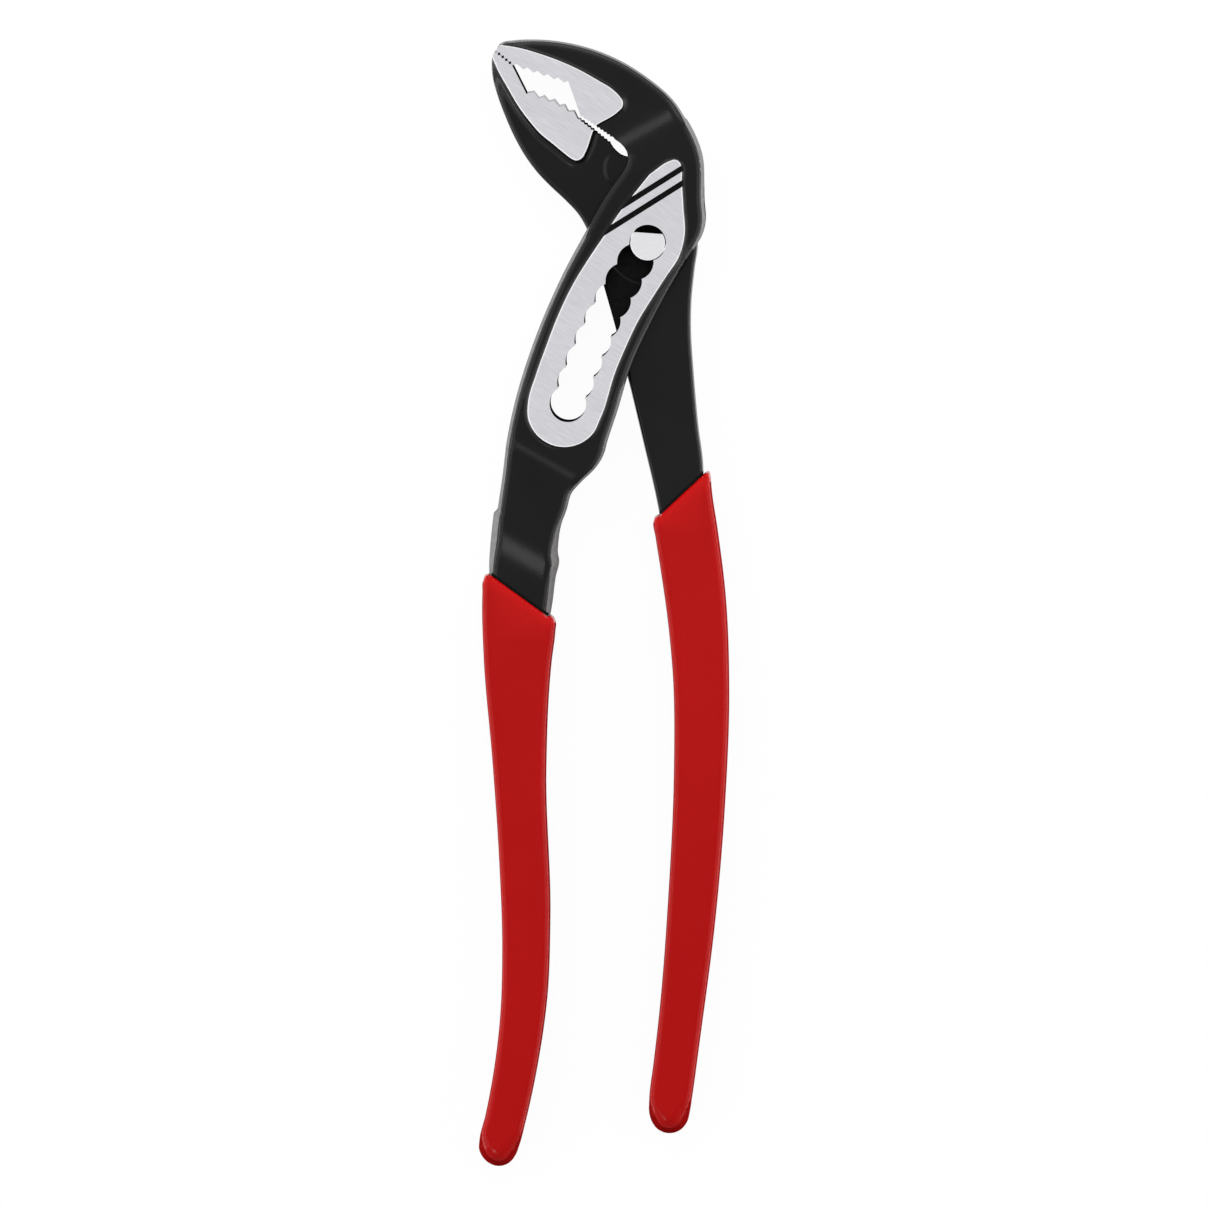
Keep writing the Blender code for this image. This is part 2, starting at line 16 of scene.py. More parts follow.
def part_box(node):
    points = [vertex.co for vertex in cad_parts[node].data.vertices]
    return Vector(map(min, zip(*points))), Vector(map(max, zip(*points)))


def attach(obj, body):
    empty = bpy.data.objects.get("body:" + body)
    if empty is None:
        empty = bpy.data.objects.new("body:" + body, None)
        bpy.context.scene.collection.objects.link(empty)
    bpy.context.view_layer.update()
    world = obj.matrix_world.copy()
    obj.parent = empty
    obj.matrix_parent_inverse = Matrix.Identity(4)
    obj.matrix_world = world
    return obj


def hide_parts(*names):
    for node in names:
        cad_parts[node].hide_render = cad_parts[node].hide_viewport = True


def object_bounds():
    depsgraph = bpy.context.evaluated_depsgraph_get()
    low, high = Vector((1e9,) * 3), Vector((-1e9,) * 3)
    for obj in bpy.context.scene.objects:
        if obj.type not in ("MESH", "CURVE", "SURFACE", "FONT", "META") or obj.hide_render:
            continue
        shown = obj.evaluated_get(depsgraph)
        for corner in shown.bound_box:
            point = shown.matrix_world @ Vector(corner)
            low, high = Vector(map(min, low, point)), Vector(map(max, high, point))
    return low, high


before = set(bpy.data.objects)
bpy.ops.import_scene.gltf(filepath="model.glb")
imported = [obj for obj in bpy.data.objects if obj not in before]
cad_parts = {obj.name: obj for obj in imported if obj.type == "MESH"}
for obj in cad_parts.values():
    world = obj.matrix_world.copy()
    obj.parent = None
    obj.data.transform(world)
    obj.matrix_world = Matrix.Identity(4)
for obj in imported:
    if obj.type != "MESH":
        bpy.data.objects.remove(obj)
cad_low, cad_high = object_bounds()

MM = 0.001
CORNER = "corner"
# Finishes of the steel pieces and of the grips, in the order of their materials
BLACK, BRIGHT, DARK, RIM_HIGHLIGHT, TRIMMED_AND_REFLECTION = range(5)
DIPPED, SIDE_SHADE = range(2)
# A loop that holds no point
NOWHERE = np.zeros((0, 2))


def half_height(node):
    low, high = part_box(node)
    return (high.z - low.z) / 2 / MM


# Heights above the middle plane
MID_PLANE = (cad_low.z + cad_high.z) / 2
SLOT_FACE_TOP = half_height("slotted_lever")
JAW_FACE_TOP = half_height("inner_lever")
GRIP_TOP = half_height("slotted_lever_grip")
CHEEK_TOP = 6.9
UPPER_JAW_TOP = 4.5
NECK_TOP = 6.2
TANG_TOP = 4.2
INNER_TOP = 3.8
POCKET_TOP = 4.1
FLASH_TOP = 0.2

# Hinge bolt and the row of scallops that it locks into
BOLT_RADIUS = 3.85
BOLT_FLAT_OFFSET = 2.2
BOLT_FLAT_ANGLE = math.radians(86)
BOLT_GAP = 0.2
HOLE_RADIUS = BOLT_RADIUS + BOLT_GAP
SLOT_RADIUS = 148.0
SLOT_START_ANGLE = math.radians(145.9)
HOLE_PITCH = 5.0
HOLE_COUNT = 9
HOLE_STEP = HOLE_PITCH / SLOT_RADIUS
SLOT_CENTRE = -SLOT_RADIUS * np.array([math.cos(SLOT_START_ANGLE), math.sin(SLOT_START_ANGLE)])

# Pocket between the cheeks, which reaches past the lever's edges on its open sides
ROOT_RADIUS = 11.0
ROOF_GAP = 0.6
POCKET_END_REACH = 15.0
POCKET_END_ANGLE = math.radians(-30.5)
POCKET_BLEND = 2.0
POCKET_SIDE = 22.0
# Rise over run of the roof's way out from the inner lever's throat
ROOF_LEAN = 0.4

# Ground faces
RIM = 0.25
RIM_DROP = 0.05
SLOT_END_CENTRE = (-18.5, -37.05)
SLOT_END_RADIUS = 8.25
SLOT_END_ANGLES = (math.radians(165), math.radians(348))
SLOT_END_STEPS = 6
SLOT_FILLET = 1.4
UPPER_FILLET = 1.9
LOWER_FILLET = 2.3
STRIPE_WIDTH = 1.15
STRIPE_DEPTH = 0.4
STRIPE_WALL = 0.05
STRIPE_SPACING = 2.85
STRIPE_COUNT = 2
STRIPE_ANGLE = math.radians(32.2)
STRIPE_LENGTH = 35.0
FIRST_STRIPE = np.array([1.95, 13.0])

# Forged edges of the slotted lever: widths and radii of their crowns, and for each side from the jaw down,
# the place along Y, the width of the trimmed strip, and the crown
JAW_CROWN = (1.9, 2.3)
BODY_CROWN = (1.45, 1.9)
THROAT_CROWN = (1.6, 4.5)
HANGING_CROWN = (1.7, 2.3)
LEFT_EDGE = [(22.0, 0.25, *JAW_CROWN), (19.5, 0.1, *THROAT_CROWN), (4.0, 0.1, *THROAT_CROWN),
             (1.0, 0.65, *BODY_CROWN), (-40.0, 0.65, *BODY_CROWN), (-59.5, 0.75, *BODY_CROWN),
             (-60.5, 1.4, *BODY_CROWN), (-66.0, 1.4, *BODY_CROWN), (-74.0, 0.8, *BODY_CROWN)]
RIGHT_EDGE = [(27.5, 0.25, *JAW_CROWN), (26.5, 0.65, *BODY_CROWN), (1.0, 0.65, *BODY_CROWN),
              (-3.0, 0.1, *HANGING_CROWN), (-30.0, 0.1, *HANGING_CROWN), (-33.0, 0.6, *BODY_CROWN),
              (-48.0, 0.5, *BODY_CROWN), (-62.0, 0.55, *BODY_CROWN), (-70.6, 1.6, *BODY_CROWN),
              (-75.0, 1.2, *BODY_CROWN), (-83.0, 1.1, *BODY_CROWN)]
# Places along Y and along X between the left and the right edge
MIDDLE_LINE = [(-80.0, -28.0), (-45.0, -20.0), (16.0, 3.5)]
# Crown at the jaw's tip against that of the jaw, and where it fades
TIP_EDGE = 0.35
TIP_FROM_Y = 30.0
TIP_FROM_X = -32.0
TIP_FADE = 12.0
# Widest strip that stays black, and the painted highlight of the cheeks that hang over the inner lever
BARE_STRIP = 0.3
CHEEK_HIGHLIGHT = 0.06
CHEEK_HIGHLIGHT_WIDTH = 1.5
CHEEK_HIGHLIGHT_FADE = 0.8
# Forged edges of the inner lever, crowned along the jaw and small along the neck
INNER_DRAFT = 0.2
INNER_EDGE = 0.8
INNER_CROWN_WIDTH = 1.3
INNER_CROWN_RADIUS = 1.55
INNER_CROWN_FROM_Y = 2.0
INNER_CROWN_FADE = 10.0

# Round relief beside the throat, spot face round the bolt, and painted shade under the slot
RELIEF_CENTRE = np.array([-5.2, 16.4])
RELIEF_RADIUS = 4.85
RELIEF_DEPTH = 0.5
RELIEF_SLOPE = 1.7
SPOT_RADIUS = 9.5
SPOT_DEPTH = 0.12
SPOT_SLOPE = 0.35
SLOT_SHADE = 1.2

# Dipped grips
GRIP_WALL = 1.5
GRIP_GAP = 0.3
GRIP_EDGE = 1.4
GRIP_RADIUS = 1.9
GRIP_DRAFT = 0.22
GRIP_END_EDGE = 3.8
GRIP_END_LENGTH = 6.0
# Share of the end's crown width that takes the painted shade
END_BAND = 0.42
LIP_EDGE = 0.4
LIP_DROP = 0.35
LIP_SLOPE = 2.2
# Distance over which the painted highlight near a grip's mouth fades
LIP_HIGHLIGHT_FADE = 4.5
# Width of the painted shadow on the steel along a grip's mouth
MOUTH_SHADOW_WIDTH = 0.6

# Teeth
FRONT_TEETH = 4
COARSE_TEETH = 5
REAR_TEETH = 10
FINE_DEPTH = 0.3
UPPER_DEPTH = 0.66
UPPER_PEAK = 0.7
LOWER_DEPTH = 0.85
LOWER_PEAK = 0.4
REAR_PEAK = 0.5
JAW_GAP = 0.08
# Pits between the front teeth, and the front wall of the lower jaw's hollow, both dark with painted shade
PIT_WIDTH = 0.6
PIT_REACH = 0.36
PIT_TOP = 3.0
PIT_PITCH = 1.03
FIRST_PIT = 1.16
FRONT_WALL = 0.15
WALL_OVERLAP = 1.0
# Loop round the lower jaw's coarse teeth, whose walls are bright
TOOTH_WALLS = np.array([(-27.5, 35.0), (-26.5, 31.0), (-15.0, 25.5), (-14.0, 30.0)])

# Mesh fineness
TURN_STEP = math.radians(3)
LONGEST_STEP = 0.9
ROUND_STEPS = 6
SPOT_STEPS = 4
KNOT_STEPS = 4
FLAT_MARGIN = 0.25
RIM_STEPS = [RIM, RIM + FLAT_MARGIN]
CIRCLE_STEPS = 96
BAND_GRID = 0.5
FOLLOW_STEP = 0.4
SHARP_ANGLE = math.radians(22)
BLOCK = 2000
WELD = 1e-5
HEIGHT_DIGITS = 4
# Share of its distance from a loop that a point beside it keeps from the loop's other stretches
RING_CLEAR = 0.97

# Outlines, counter-clockwise: smooth through each point, unless it is marked as a corner
SLOTTED_GRIP_RIGHT = [(-28.6, -200.6), (-27.2, -195.3), (-24.3, -181.5), (-22.4, -168.0), (-21.7, -150.0),
                      (-22.6, -117.0), (-21.4, -93.0), (-20.6, -86.5)]
SLOTTED_GRIP_LEFT = [(-36.8, -78.0), (-36.5, -92.5), (-34.6, -115.0), (-33.1, -137.0), (-32.4, -157.0),
                     (-32.9, -172.5), (-34.6, -186.0), (-36.15, -194.0), (-37.45, -199.4)]
SLOTTED_GRIP_END = [(-37.5, -201.6), (-36.8, -203.1), (-35.4, -204.5), (-33.1, -205.2), (-30.9, -204.5),
                    (-29.4, -202.7)]
SLOTTED_GRIP_MOUTH = [(-20.5, -84.4), (-21.3, -82.95), (-22.3, -83.0, CORNER), (-34.9, -73.9, CORNER),
                      (-35.9, -73.8), (-36.65, -75.2)]

INNER_GRIP_RIGHT = [(9.25, -193.0), (9.75, -189.8), (11.5, -177.0), (14.9, -150.5), (17.1, -124.0),
                    (17.98, -99.5), (17.1, -77.5), (15.5, -64.5), (14.0, -54.0)]
INNER_GRIP_LEFT = [(1.6, -65.5), (2.7, -72.5), (4.2, -83.0), (5.5, -97.0), (5.7, -117.0),
                   (4.4, -146.0), (2.3, -172.5), (1.2, -182.0), (0.2, -190.6)]
INNER_GRIP_END = [(0.2, -193.3), (0.75, -195.2), (2.1, -197.0), (4.75, -197.9), (7.2, -197.1),
                  (8.65, -195.3)]
INNER_GRIP_MOUTH = [(13.85, -51.9), (13.4, -50.9), (12.75, -51.15, CORNER), (2.75, -60.45, CORNER),
                    (1.6, -60.9), (1.15, -62.2)]

SLOTTED_RIGHT = [(-21.3, -80.5), (-20.5, -74.3), (-19.75, -70.7), (-20.05, -69.0), (-19.95, -67.0),
                 (-19.35, -63.0), (-18.1, -59.5), (-16.95, -55.7), (-14.75, -53.15), (-11.45, -49.85),
                 (-9.95, -47.4), (-9.2, -44.7), (-6.9, -37.7), (-3.8, -27.5), (1.3, -16.5), (4.9, -9.8),
                 (9.1, -2.9), (12.2, 2.1), (12.7, 4.8), (12.45, 9.0), (11.8, 20.2), (10.0, 24.7),
                 (8.65, 27.1, CORNER), (8.15, 27.5, CORNER), (6.4, 30.3), (-0.7, 36.8), (-9.5, 41.7),
                 (-18.2, 44.2), (-25.3, 44.87), (-30.0, 44.65)]
SLOTTED_TIP = [(-32.3, 44.2), (-33.2, 43.4), (-33.7, 42.4), (-32.9, 39.6), (-31.0, 36.4)]
SLOTTED_UNDERSIDE = [(-25.0, 31.0), (-14.0, 22.0), (-4.35, 18.9, CORNER), (-4.7, 17.2), (-5.6, 15.6)]
SLOTTED_LEFT = [(-7.6, 12.8), (-9.8, 9.5), (-13.5, 2.9), (-19.1, -7.5), (-25.2, -21.7), (-29.65, -35.9),
                (-31.3, -43.9), (-32.4, -52.4), (-33.4, -59.2, CORNER), (-34.3, -60.2, CORNER),
                (-34.9, -65.7), (-35.3, -72.3)]

INNER_RIGHT = [(12.25, -50.8), (11.05, -40.2), (10.0, -28.0), (9.5, -20.0), (9.6, -13.0), (10.3, -6.0)]
INNER_JAW_TOP = [(-1.6, 13.0), (-3.4, 17.4), (-6.0, 23.5), (-14.0, 30.5), (-24.0, 38.2), (-29.5, 41.8)]
INNER_TIP = [(-32.0, 42.9), (-33.6, 42.5), (-34.35, 41.5), (-34.65, 40.6)]
INNER_LEFT = [(-34.75, 39.2), (-34.6, 37.0), (-33.35, 32.1), (-31.9, 28.2), (-29.7, 23.2), (-27.3, 18.95),
              (-24.55, 15.25), (-21.35, 11.95), (-18.45, 9.25), (-15.35, 5.85), (-13.2, 1.9), (-9.95, -9.5),
              (-7.15, -19.5), (-4.15, -31.7), (-1.25, -43.9), (1.8, -57.0)]

UPPER_JAW_FACE = [(-14.0, 24.2, CORNER), (-11.2, 26.25, CORNER), (-6.5, 29.2), (-5.7, 30.1), (-5.55, 31.3),
                  (-6.3, 32.5), (-7.7, 33.9), (-11.2, 36.1), (-15.5, 38.5), (-19.3, 40.2), (-24.6, 42.1),
                  (-29.0, 43.3), (-34.0, 44.0, CORNER), (-36.0, 40.0, CORNER)]
LOWER_JAW_FACE = [(-36.0, 44.0, CORNER), (-34.3, 40.6, CORNER), (-33.0, 37.7), (-31.5, 35.05),
                  (-28.4, 29.8), (-26.2, 26.9), (-23.95, 24.3), (-21.1, 21.95), (-18.3, 19.65),
                  (-17.2, 18.8), (-15.8, 18.25), (-14.6, 18.8), (-13.9, 20.0), (-12.3, 24.5, CORNER),
                  (-9.0, 30.0, CORNER), (-30.0, 48.0, CORNER)]
SLOT_FACE_LEFT = [(-3.6, 10.2), (-6.0, 7.1), (-9.6, 1.7), (-12.7, -2.9), (-16.9, -9.8), (-19.8, -15.9),
                  (-22.8, -23.7), (-24.9, -29.6)]
SLOT_FACE_RIGHT = [(-7.1, -28.4), (-5.0, -23.4), (-2.0, -17.1), (0.95, -12.3), (3.9, -7.7), (6.9, -3.1),
                   (8.15, 1.5), (7.9, 8.0), (7.55, 14.0), (7.45, 17.1)]
SLOT_FACE_TOP_END = [(6.9, 18.1), (5.85, 18.5), (5.0, 18.25), (0.4, 15.2, CORNER)]

# Bite lines, from the tip to the throat
FRONT_BITE = [(-33.9, 42.6), (-29.9, 39.35)]
UPPER_COARSE = [(-29.0, 39.6), (-17.7, 35.9)]
UPPER_REAR = [(-15.05, 28.5), (-7.8, 23.5)]
UPPER_THROAT = [(-7.3, 22.9), (-6.1, 22.1), (-5.3, 21.3), (-4.65, 20.3), (-4.4, 18.9)]
LOWER_COARSE = [(-26.8, 33.1), (-24.2, 31.9), (-22.0, 31.2), (-19.7, 30.2), (-17.7, 29.0), (-15.6, 27.5)]
LOWER_REAR = [(-15.5, 27.4), (-8.3, 21.6)]
LOWER_THROAT = [(-7.7, 20.7), (-7.0, 20.0), (-6.1, 19.3), (-5.1, 18.9), (-4.4, 18.8)]
UPPER_WASTE = [(-5.4, 17.2), (-14.0, 13.0), (-45.0, 30.0), (-40.0, 46.0)]
LOWER_WASTE = [(-2.0, 16.9), (5.0, 24.0), (-25.0, 60.0), (-40.0, 46.0)]


class Slope(NamedTuple):
    """Change of thickness: its start, the way it thins, its length, half its width and the height lost."""

    place: tuple
    way: float
    run: float
    reach: float
    lost: float


JAW_SLOPE = Slope((3.0, 22.1), math.radians(118.7), 9.0, 15.0, CHEEK_TOP - UPPER_JAW_TOP)
NECK_SLOPE = Slope((-22.4, -45.95), math.radians(-119.3), 4.7, 16.0, CHEEK_TOP - NECK_TOP)
TANG_SLOPE = Slope((-25.45, -63.8), math.radians(-119.5), 12.0, 12.0, NECK_TOP - TANG_TOP)
SLOPES = (JAW_SLOPE, NECK_SLOPE, TANG_SLOPE)


# Plan geometry
def tangent(before, here, after):
    """Direction of a smooth curve at a point, weighted towards the nearer neighbour."""
    first = here - before
    second = after - here
    return (first / first.length_squared + second / second.length_squared).normalized()


def smooth_outline(points):
    """Closed outline, smooth through every point that isn't marked as a corner."""
    knots = [Vector(point[:2]) for point in points]
    sharp = [len(point) > 2 for point in points]
    count = len(points)
    outline = []
    for i in range(count):
        before, start, end, after = (knots[(i + k) % count] for k in (-1, 0, 1, 2))
        chord = end - start
        leave = chord.normalized() if sharp[i] else tangent(before, start, end)
        arrive = chord.normalized() if sharp[(i + 1) % count] else tangent(start, end, after)
        reach = chord.length / 3
        turn = leave.angle(chord) + arrive.angle(chord)
        steps = math.ceil(max(turn / TURN_STEP, chord.length / LONGEST_STEP, 1))
        span = interpolate_bezier(start, start + leave * reach, end - arrive * reach, end, steps + 1)
        outline += [tuple(p[:2]) for p in span[:-1]]
    return np.array(outline)


def direction(angle):
    return np.array([math.cos(angle), math.sin(angle)])


def arc(centre, radius, start, end, steps):
    angles = np.linspace(start, end, steps + 1)
    return np.asarray(centre) + radius * np.stack([np.cos(angles), np.sin(angles)], axis=1)


def subdivide(loop):
    """The same closed loop with points close enough to follow a curved surface."""
    finer = []
    for start, end in zip(loop, np.roll(loop, -1, axis=0)):
        steps = math.ceil(np.linalg.norm(end - start) / FOLLOW_STEP)
        finer += [start + (end - start) * i / steps for i in range(steps)]
    return np.array(finer)


def circle(centre, radius):
    return arc(centre, radius, 0, math.tau, CIRCLE_STEPS)[:-1]


def distance(points, line, closed=True):
    """Distance from each point to a chain of straight segments."""
    start = line if closed else line[:-1]
    run = np.roll(line, -1, axis=0) - line if closed else line[1:] - line[:-1]
    squared = (run ** 2).sum(axis=1)
    gaps = []
    for first in range(0, len(points), BLOCK):
        reach = points[first:first + BLOCK, None] - start
        along = np.clip((reach * run).sum(axis=2) / squared, 0, 1)
        gaps.append(np.linalg.norm(reach - along[..., None] * run, axis=2).min(axis=1))
    return np.concatenate(gaps)


def inside(points, loop):
    """Whether each point is inside a closed loop."""
    x, y = points.T
    within = np.zeros(len(points), bool)
    for (x0, y0), (x1, y1) in zip(loop, np.roll(loop, -1, axis=0)):
        if y0 != y1:
            within ^= ((y0 > y) != (y1 > y)) & (x < (x1 - x0) * (y - y0) / (y1 - y0) + x0)
    return within


def depth(points, loop):
    """Distance to a closed loop, positive inside it."""
    return np.where(inside(points, loop), 1, -1) * distance(points, loop)


def rings(loop, distances):
    """Points beside a counter-clockwise loop, inwards where positive, away from its other stretches."""
    ahead = np.roll(loop, -1, axis=0) - np.roll(loop, 1, axis=0)
    normal = np.stack([-ahead[:, 1], ahead[:, 0]], axis=1)
    normal /= np.linalg.norm(normal, axis=1)[:, None]
    found = []
    for gap in distances:
        moved = loop + normal * np.broadcast_to(gap, len(loop))[:, None]
        found.append(moved[distance(moved, loop) > np.abs(gap) * RING_CLEAR])
    return np.concatenate(found)


def round_steps(draft, width):
    """Distances from an edge that follow its rounding evenly, and one just past it."""
    turns = np.linspace(math.pi / 2, 0, ROUND_STEPS + 1)
    return [draft + width * (1 - math.sin(turn)) for turn in turns] + [draft + width + FLAT_MARGIN]


def slope_steps(length, count):
    """Even distances across a slope, and one just past it."""
    return [length * k / count for k in range(1, count + 1)] + [length + FLAT_MARGIN]


def smooth_step(value):
    t = np.clip(value, 0, 1)
    return t * t * (3 - 2 * t)


def band(points, slope):
    """How far past a sloped line each point is, from 0 to 1."""
    t = np.clip((points - np.array(slope.place)) @ direction(slope.way) / slope.run, 0, 1)
    return t ** 3 * (10 - 15 * t + 6 * t ** 2)


def band_grid(slope):
    """Even points over a slope."""
    along = np.arange(-BAND_GRID, slope.run + 2 * BAND_GRID, BAND_GRID)
    across = np.arange(-slope.reach, slope.reach, BAND_GRID)
    first, second = np.meshgrid(along, across)
    flat = np.stack([first.ravel(), second.ravel()], axis=1)
    axes = np.array([direction(slope.way), direction(slope.way + math.pi / 2)])
    return np.array(slope.place) + flat @ axes


def hole_centre(index):
    return SLOT_CENTRE + SLOT_RADIUS * direction(SLOT_START_ANGLE + index * HOLE_STEP)


def saw(line, count, tooth_depth, peak):
    """Teeth along each span of a line: roots on the line, peaks to its right by their depth."""
    knots = [np.array(point) for point in line]
    row = []
    for start, end in zip(knots, knots[1:]):
        run = end - start
        right = np.array([run[1], -run[0]]) / np.linalg.norm(run)
        for i in range(count):
            row.append(start + run * i / count)
            row.append(start + run * (i + peak) / count + right * tooth_depth)
    return row + [knots[-1]]


def front_edge(side):
    """Straight front edge of one jaw, half a gap away from the other jaw's."""
    start, end = (np.array(point) for point in FRONT_BITE)
    run = end - start
    shift = side * JAW_GAP / 2 * np.array([-run[1], run[0]]) / np.linalg.norm(run)
    return [start + shift, end + shift]


def front_pits():
    """Diamond pits where the roots of both jaws' front teeth face each other."""
    start, end = (np.array(point) for point in FRONT_BITE)
    run = end - start
    along = run / np.linalg.norm(run)
    across = np.array([-along[1], along[0]]) * PIT_REACH
    pits = []
    for i in range(FRONT_TEETH):
        place = start + along * (FIRST_PIT + i * PIT_PITCH)
        side = along * PIT_WIDTH / 2
        pits.append(np.array([place - side, place - across, place + side, place + across]))
    return pits


def front_wall():
    """Undercut step along the front wall of the lower jaw's hollow."""
    top = front_edge(-1)[1]
    foot = np.array(LOWER_COARSE[0])
    run = (foot - top) / np.linalg.norm(foot - top)
    out = np.array([run[1], -run[0]])
    step = out * FRONT_WALL
    back = out * WALL_OVERLAP
    return np.array([top + step, foot + step, foot - back, top - back])


def upper_bite():
    coarse = saw(UPPER_COARSE, COARSE_TEETH, UPPER_DEPTH, UPPER_PEAK)
    rear = saw(UPPER_REAR, REAR_TEETH, FINE_DEPTH, REAR_PEAK)
    return np.array(front_edge(1) + coarse + rear + UPPER_THROAT + UPPER_WASTE)


def lower_bite():
    coarse = saw(LOWER_COARSE, 1, -LOWER_DEPTH, LOWER_PEAK)
    rear = saw(LOWER_REAR, REAR_TEETH, -FINE_DEPTH, REAR_PEAK)
    return np.array(front_edge(-1) + coarse + rear + LOWER_THROAT + LOWER_WASTE)


def slot_outline(radius):
    """Row of round holes that run into each other along the slot's arc, counter-clockwise."""
    half_turn = math.asin(HOLE_PITCH / 2 / radius)
    outline = []
    for side in (0, 1):
        order = range(HOLE_COUNT) if side == 0 else range(HOLE_COUNT - 1, -1, -1)
        for index in order:
            out = SLOT_START_ANGLE + index * HOLE_STEP + math.pi * side
            opens = index == (0 if side == 0 else HOLE_COUNT - 1)
            closes = index == (HOLE_COUNT - 1 if side == 0 else 0)
            start = out - (math.pi / 2 if opens else half_turn)
            end = out + (math.pi / 2 if closes else half_turn)
            steps = round(CIRCLE_STEPS * (end - start) / math.tau)
            outline.append(arc(hole_centre(index), radius, start, end, steps)[:-1])
    return np.concatenate(outline)


def slot_face_outline():
    """Ground face round the slot, with a round lower end and a four-sided head."""
    end = arc(SLOT_END_CENTRE, SLOT_END_RADIUS, *SLOT_END_ANGLES, SLOT_END_STEPS)
    return smooth_outline(SLOT_FACE_LEFT + list(end) + SLOT_FACE_RIGHT + SLOT_FACE_TOP_END)


def pocket_outline():
    """Room for the inner lever between the cheeks, open on both sides."""
    along = direction(POCKET_END_ANGLE)
    down = np.array([along[1], -along[0]])
    end = hole_centre(HOLE_COUNT - 1) + down * POCKET_END_REACH
    roof = ROOT_RADIUS + ROOF_GAP
    root, throat = (np.array(point) for point in INNER_JAW_TOP[:2])
    out = direction(math.atan(ROOF_LEAN)) * ROOF_GAP
    mouth = np.array(UPPER_THROAT[-1])
    return np.array([end - along * POCKET_SIDE, end + along * POCKET_SIDE, (POCKET_SIDE, roof),
                     (roof - ROOT_RADIUS, roof), root + out, throat + out, mouth,
                     mouth - (POCKET_SIDE / 2, 0)])


def stripe_outline(index, margin):
    """Rectangle of one groove across the slot's face, wider by a margin."""
    down = direction(STRIPE_ANGLE - math.pi / 2)
    place = FIRST_STRIPE + down * STRIPE_SPACING * index
    long_side = direction(STRIPE_ANGLE) * (STRIPE_LENGTH / 2 + margin)
    short_side = down * (STRIPE_WIDTH / 2 + margin)
    return np.array([place - long_side + short_side, place + long_side + short_side,
                     place + long_side - short_side, place - long_side - short_side])


def lip_edge(mouth):
    """Straight edge of a grip's mouth."""
    return np.array([point[:2] for point in mouth if CORNER in point])


def mouth_shadow(mouth):
    """Thin strip of steel along the edge of a grip's mouth, which takes a painted shadow."""
    first, last = lip_edge(mouth)
    run = (last - first) / np.linalg.norm(last - first)
    out = np.array([run[1], -run[0]]) * MOUTH_SHADOW_WIDTH
    return subdivide(np.array([first, first + out, last + out, last]))


def moved_edge(points, gap):
    """A handle's edge, moved sideways."""
    return [(x + gap, y) for x, y in points]


def tang(right, left, gap):
    """Edges of the steel inside a grip: the grip's own edges moved in, joined by a round end."""
    inner_right = moved_edge(right, -gap)
    inner_left = moved_edge(left, gap)
    centre = (np.array(inner_left[-1]) + np.array(inner_right[0])) / 2
    spoke = np.array(inner_left[-1]) - centre
    start = math.atan2(spoke[1], spoke[0])
    end = arc(centre, np.linalg.norm(spoke), start, start + math.pi, KNOT_STEPS)[1:-1]
    return inner_left, list(end), inner_right


# Heights
def forged(gap, top, width, radius, draft, base):
    """Height at a distance from the outline: a drafted side under a crowned edge."""
    run = np.clip(width + draft - gap, 0, width)
    crown = top - radius + np.sqrt(radius ** 2 - run ** 2)
    shoulder = top - radius + np.sqrt(radius ** 2 - width ** 2)
    return np.where(gap < draft, base + (shoulder - base) * gap / draft, crown)


def ground(height, gap, top, foot, radius):
    """Raise a ground face with a thin bright rim, over a hollow fillet down to the body."""
    rim = top - RIM_DROP * np.clip(1 - gap / RIM, 0, 1)
    reach = fillet_width(top, foot, radius)
    run = np.clip(reach + gap, 0, reach)
    raised = foot + radius - np.sqrt(radius ** 2 - run ** 2)
    beside = np.where(gap > -reach, np.minimum(height + raised - foot, top - RIM_DROP), height)
    return np.where(gap >= 0, rim, beside)


def fillet_width(top, foot, radius):
    """Plan width of the fillet between a ground face's rim and the body."""
    return math.sqrt(radius ** 2 - (radius - top + RIM_DROP + foot) ** 2)


def fillet_steps(top, foot, radius):
    """Distances outside a ground face that follow its fillet evenly, and one just past it."""
    return [-step for step in slope_steps(fillet_width(top, foot, radius), ROUND_STEPS)]


def sink(height, points, pits, low):
    """Lower the ground inside small pits."""
    for pit in pits:
        height = np.where(depth(points, pit) > -STRIPE_WALL / 2, np.minimum(height, low), height)
    return height


def grown(loop, margin):
    """A convex loop, wider by a margin all round."""
    middle = loop.mean(axis=0)
    out = loop - middle
    return middle + out * (1 + margin / np.linalg.norm(out, axis=1).min())


# Solids
def plan_mesh(loops, seeds, kept):
    """Triangles over the kept part of a plan, which follow the loops and pass through the seeds."""
    points = []
    edges = []
    for loop in loops:
        first = len(points)
        points += [Vector(p) for p in loop]
        edges += [(first + i, first + (i + 1) % len(loop)) for i in range(len(loop))]
    points += [Vector(p) for p in seeds]
    plan, _, triangles, *_ = delaunay_2d_cdt(points, edges, [], 0, WELD, False)
    plan = np.array([tuple(p) for p in plan])
    triangles = np.array(triangles)
    return plan, triangles[kept(plan[triangles].mean(axis=1))]


def mesh_object(name, places, faces, slots, finishes):
    """Object that is smooth between sharp edges, with a finish for each face."""
    mesh = bpy.data.meshes.new(name)
    mesh.from_pydata(places, [], faces)
    mesh.polygons.foreach_set("material_index", slots)
    for material in finishes:
        mesh.materials.append(material)
    mesh.shade_smooth()
    mesh.set_sharp_from_angle(angle=SHARP_ANGLE)
    made = bpy.data.objects.new(name, mesh)
    bpy.context.collection.objects.link(made)
    return made


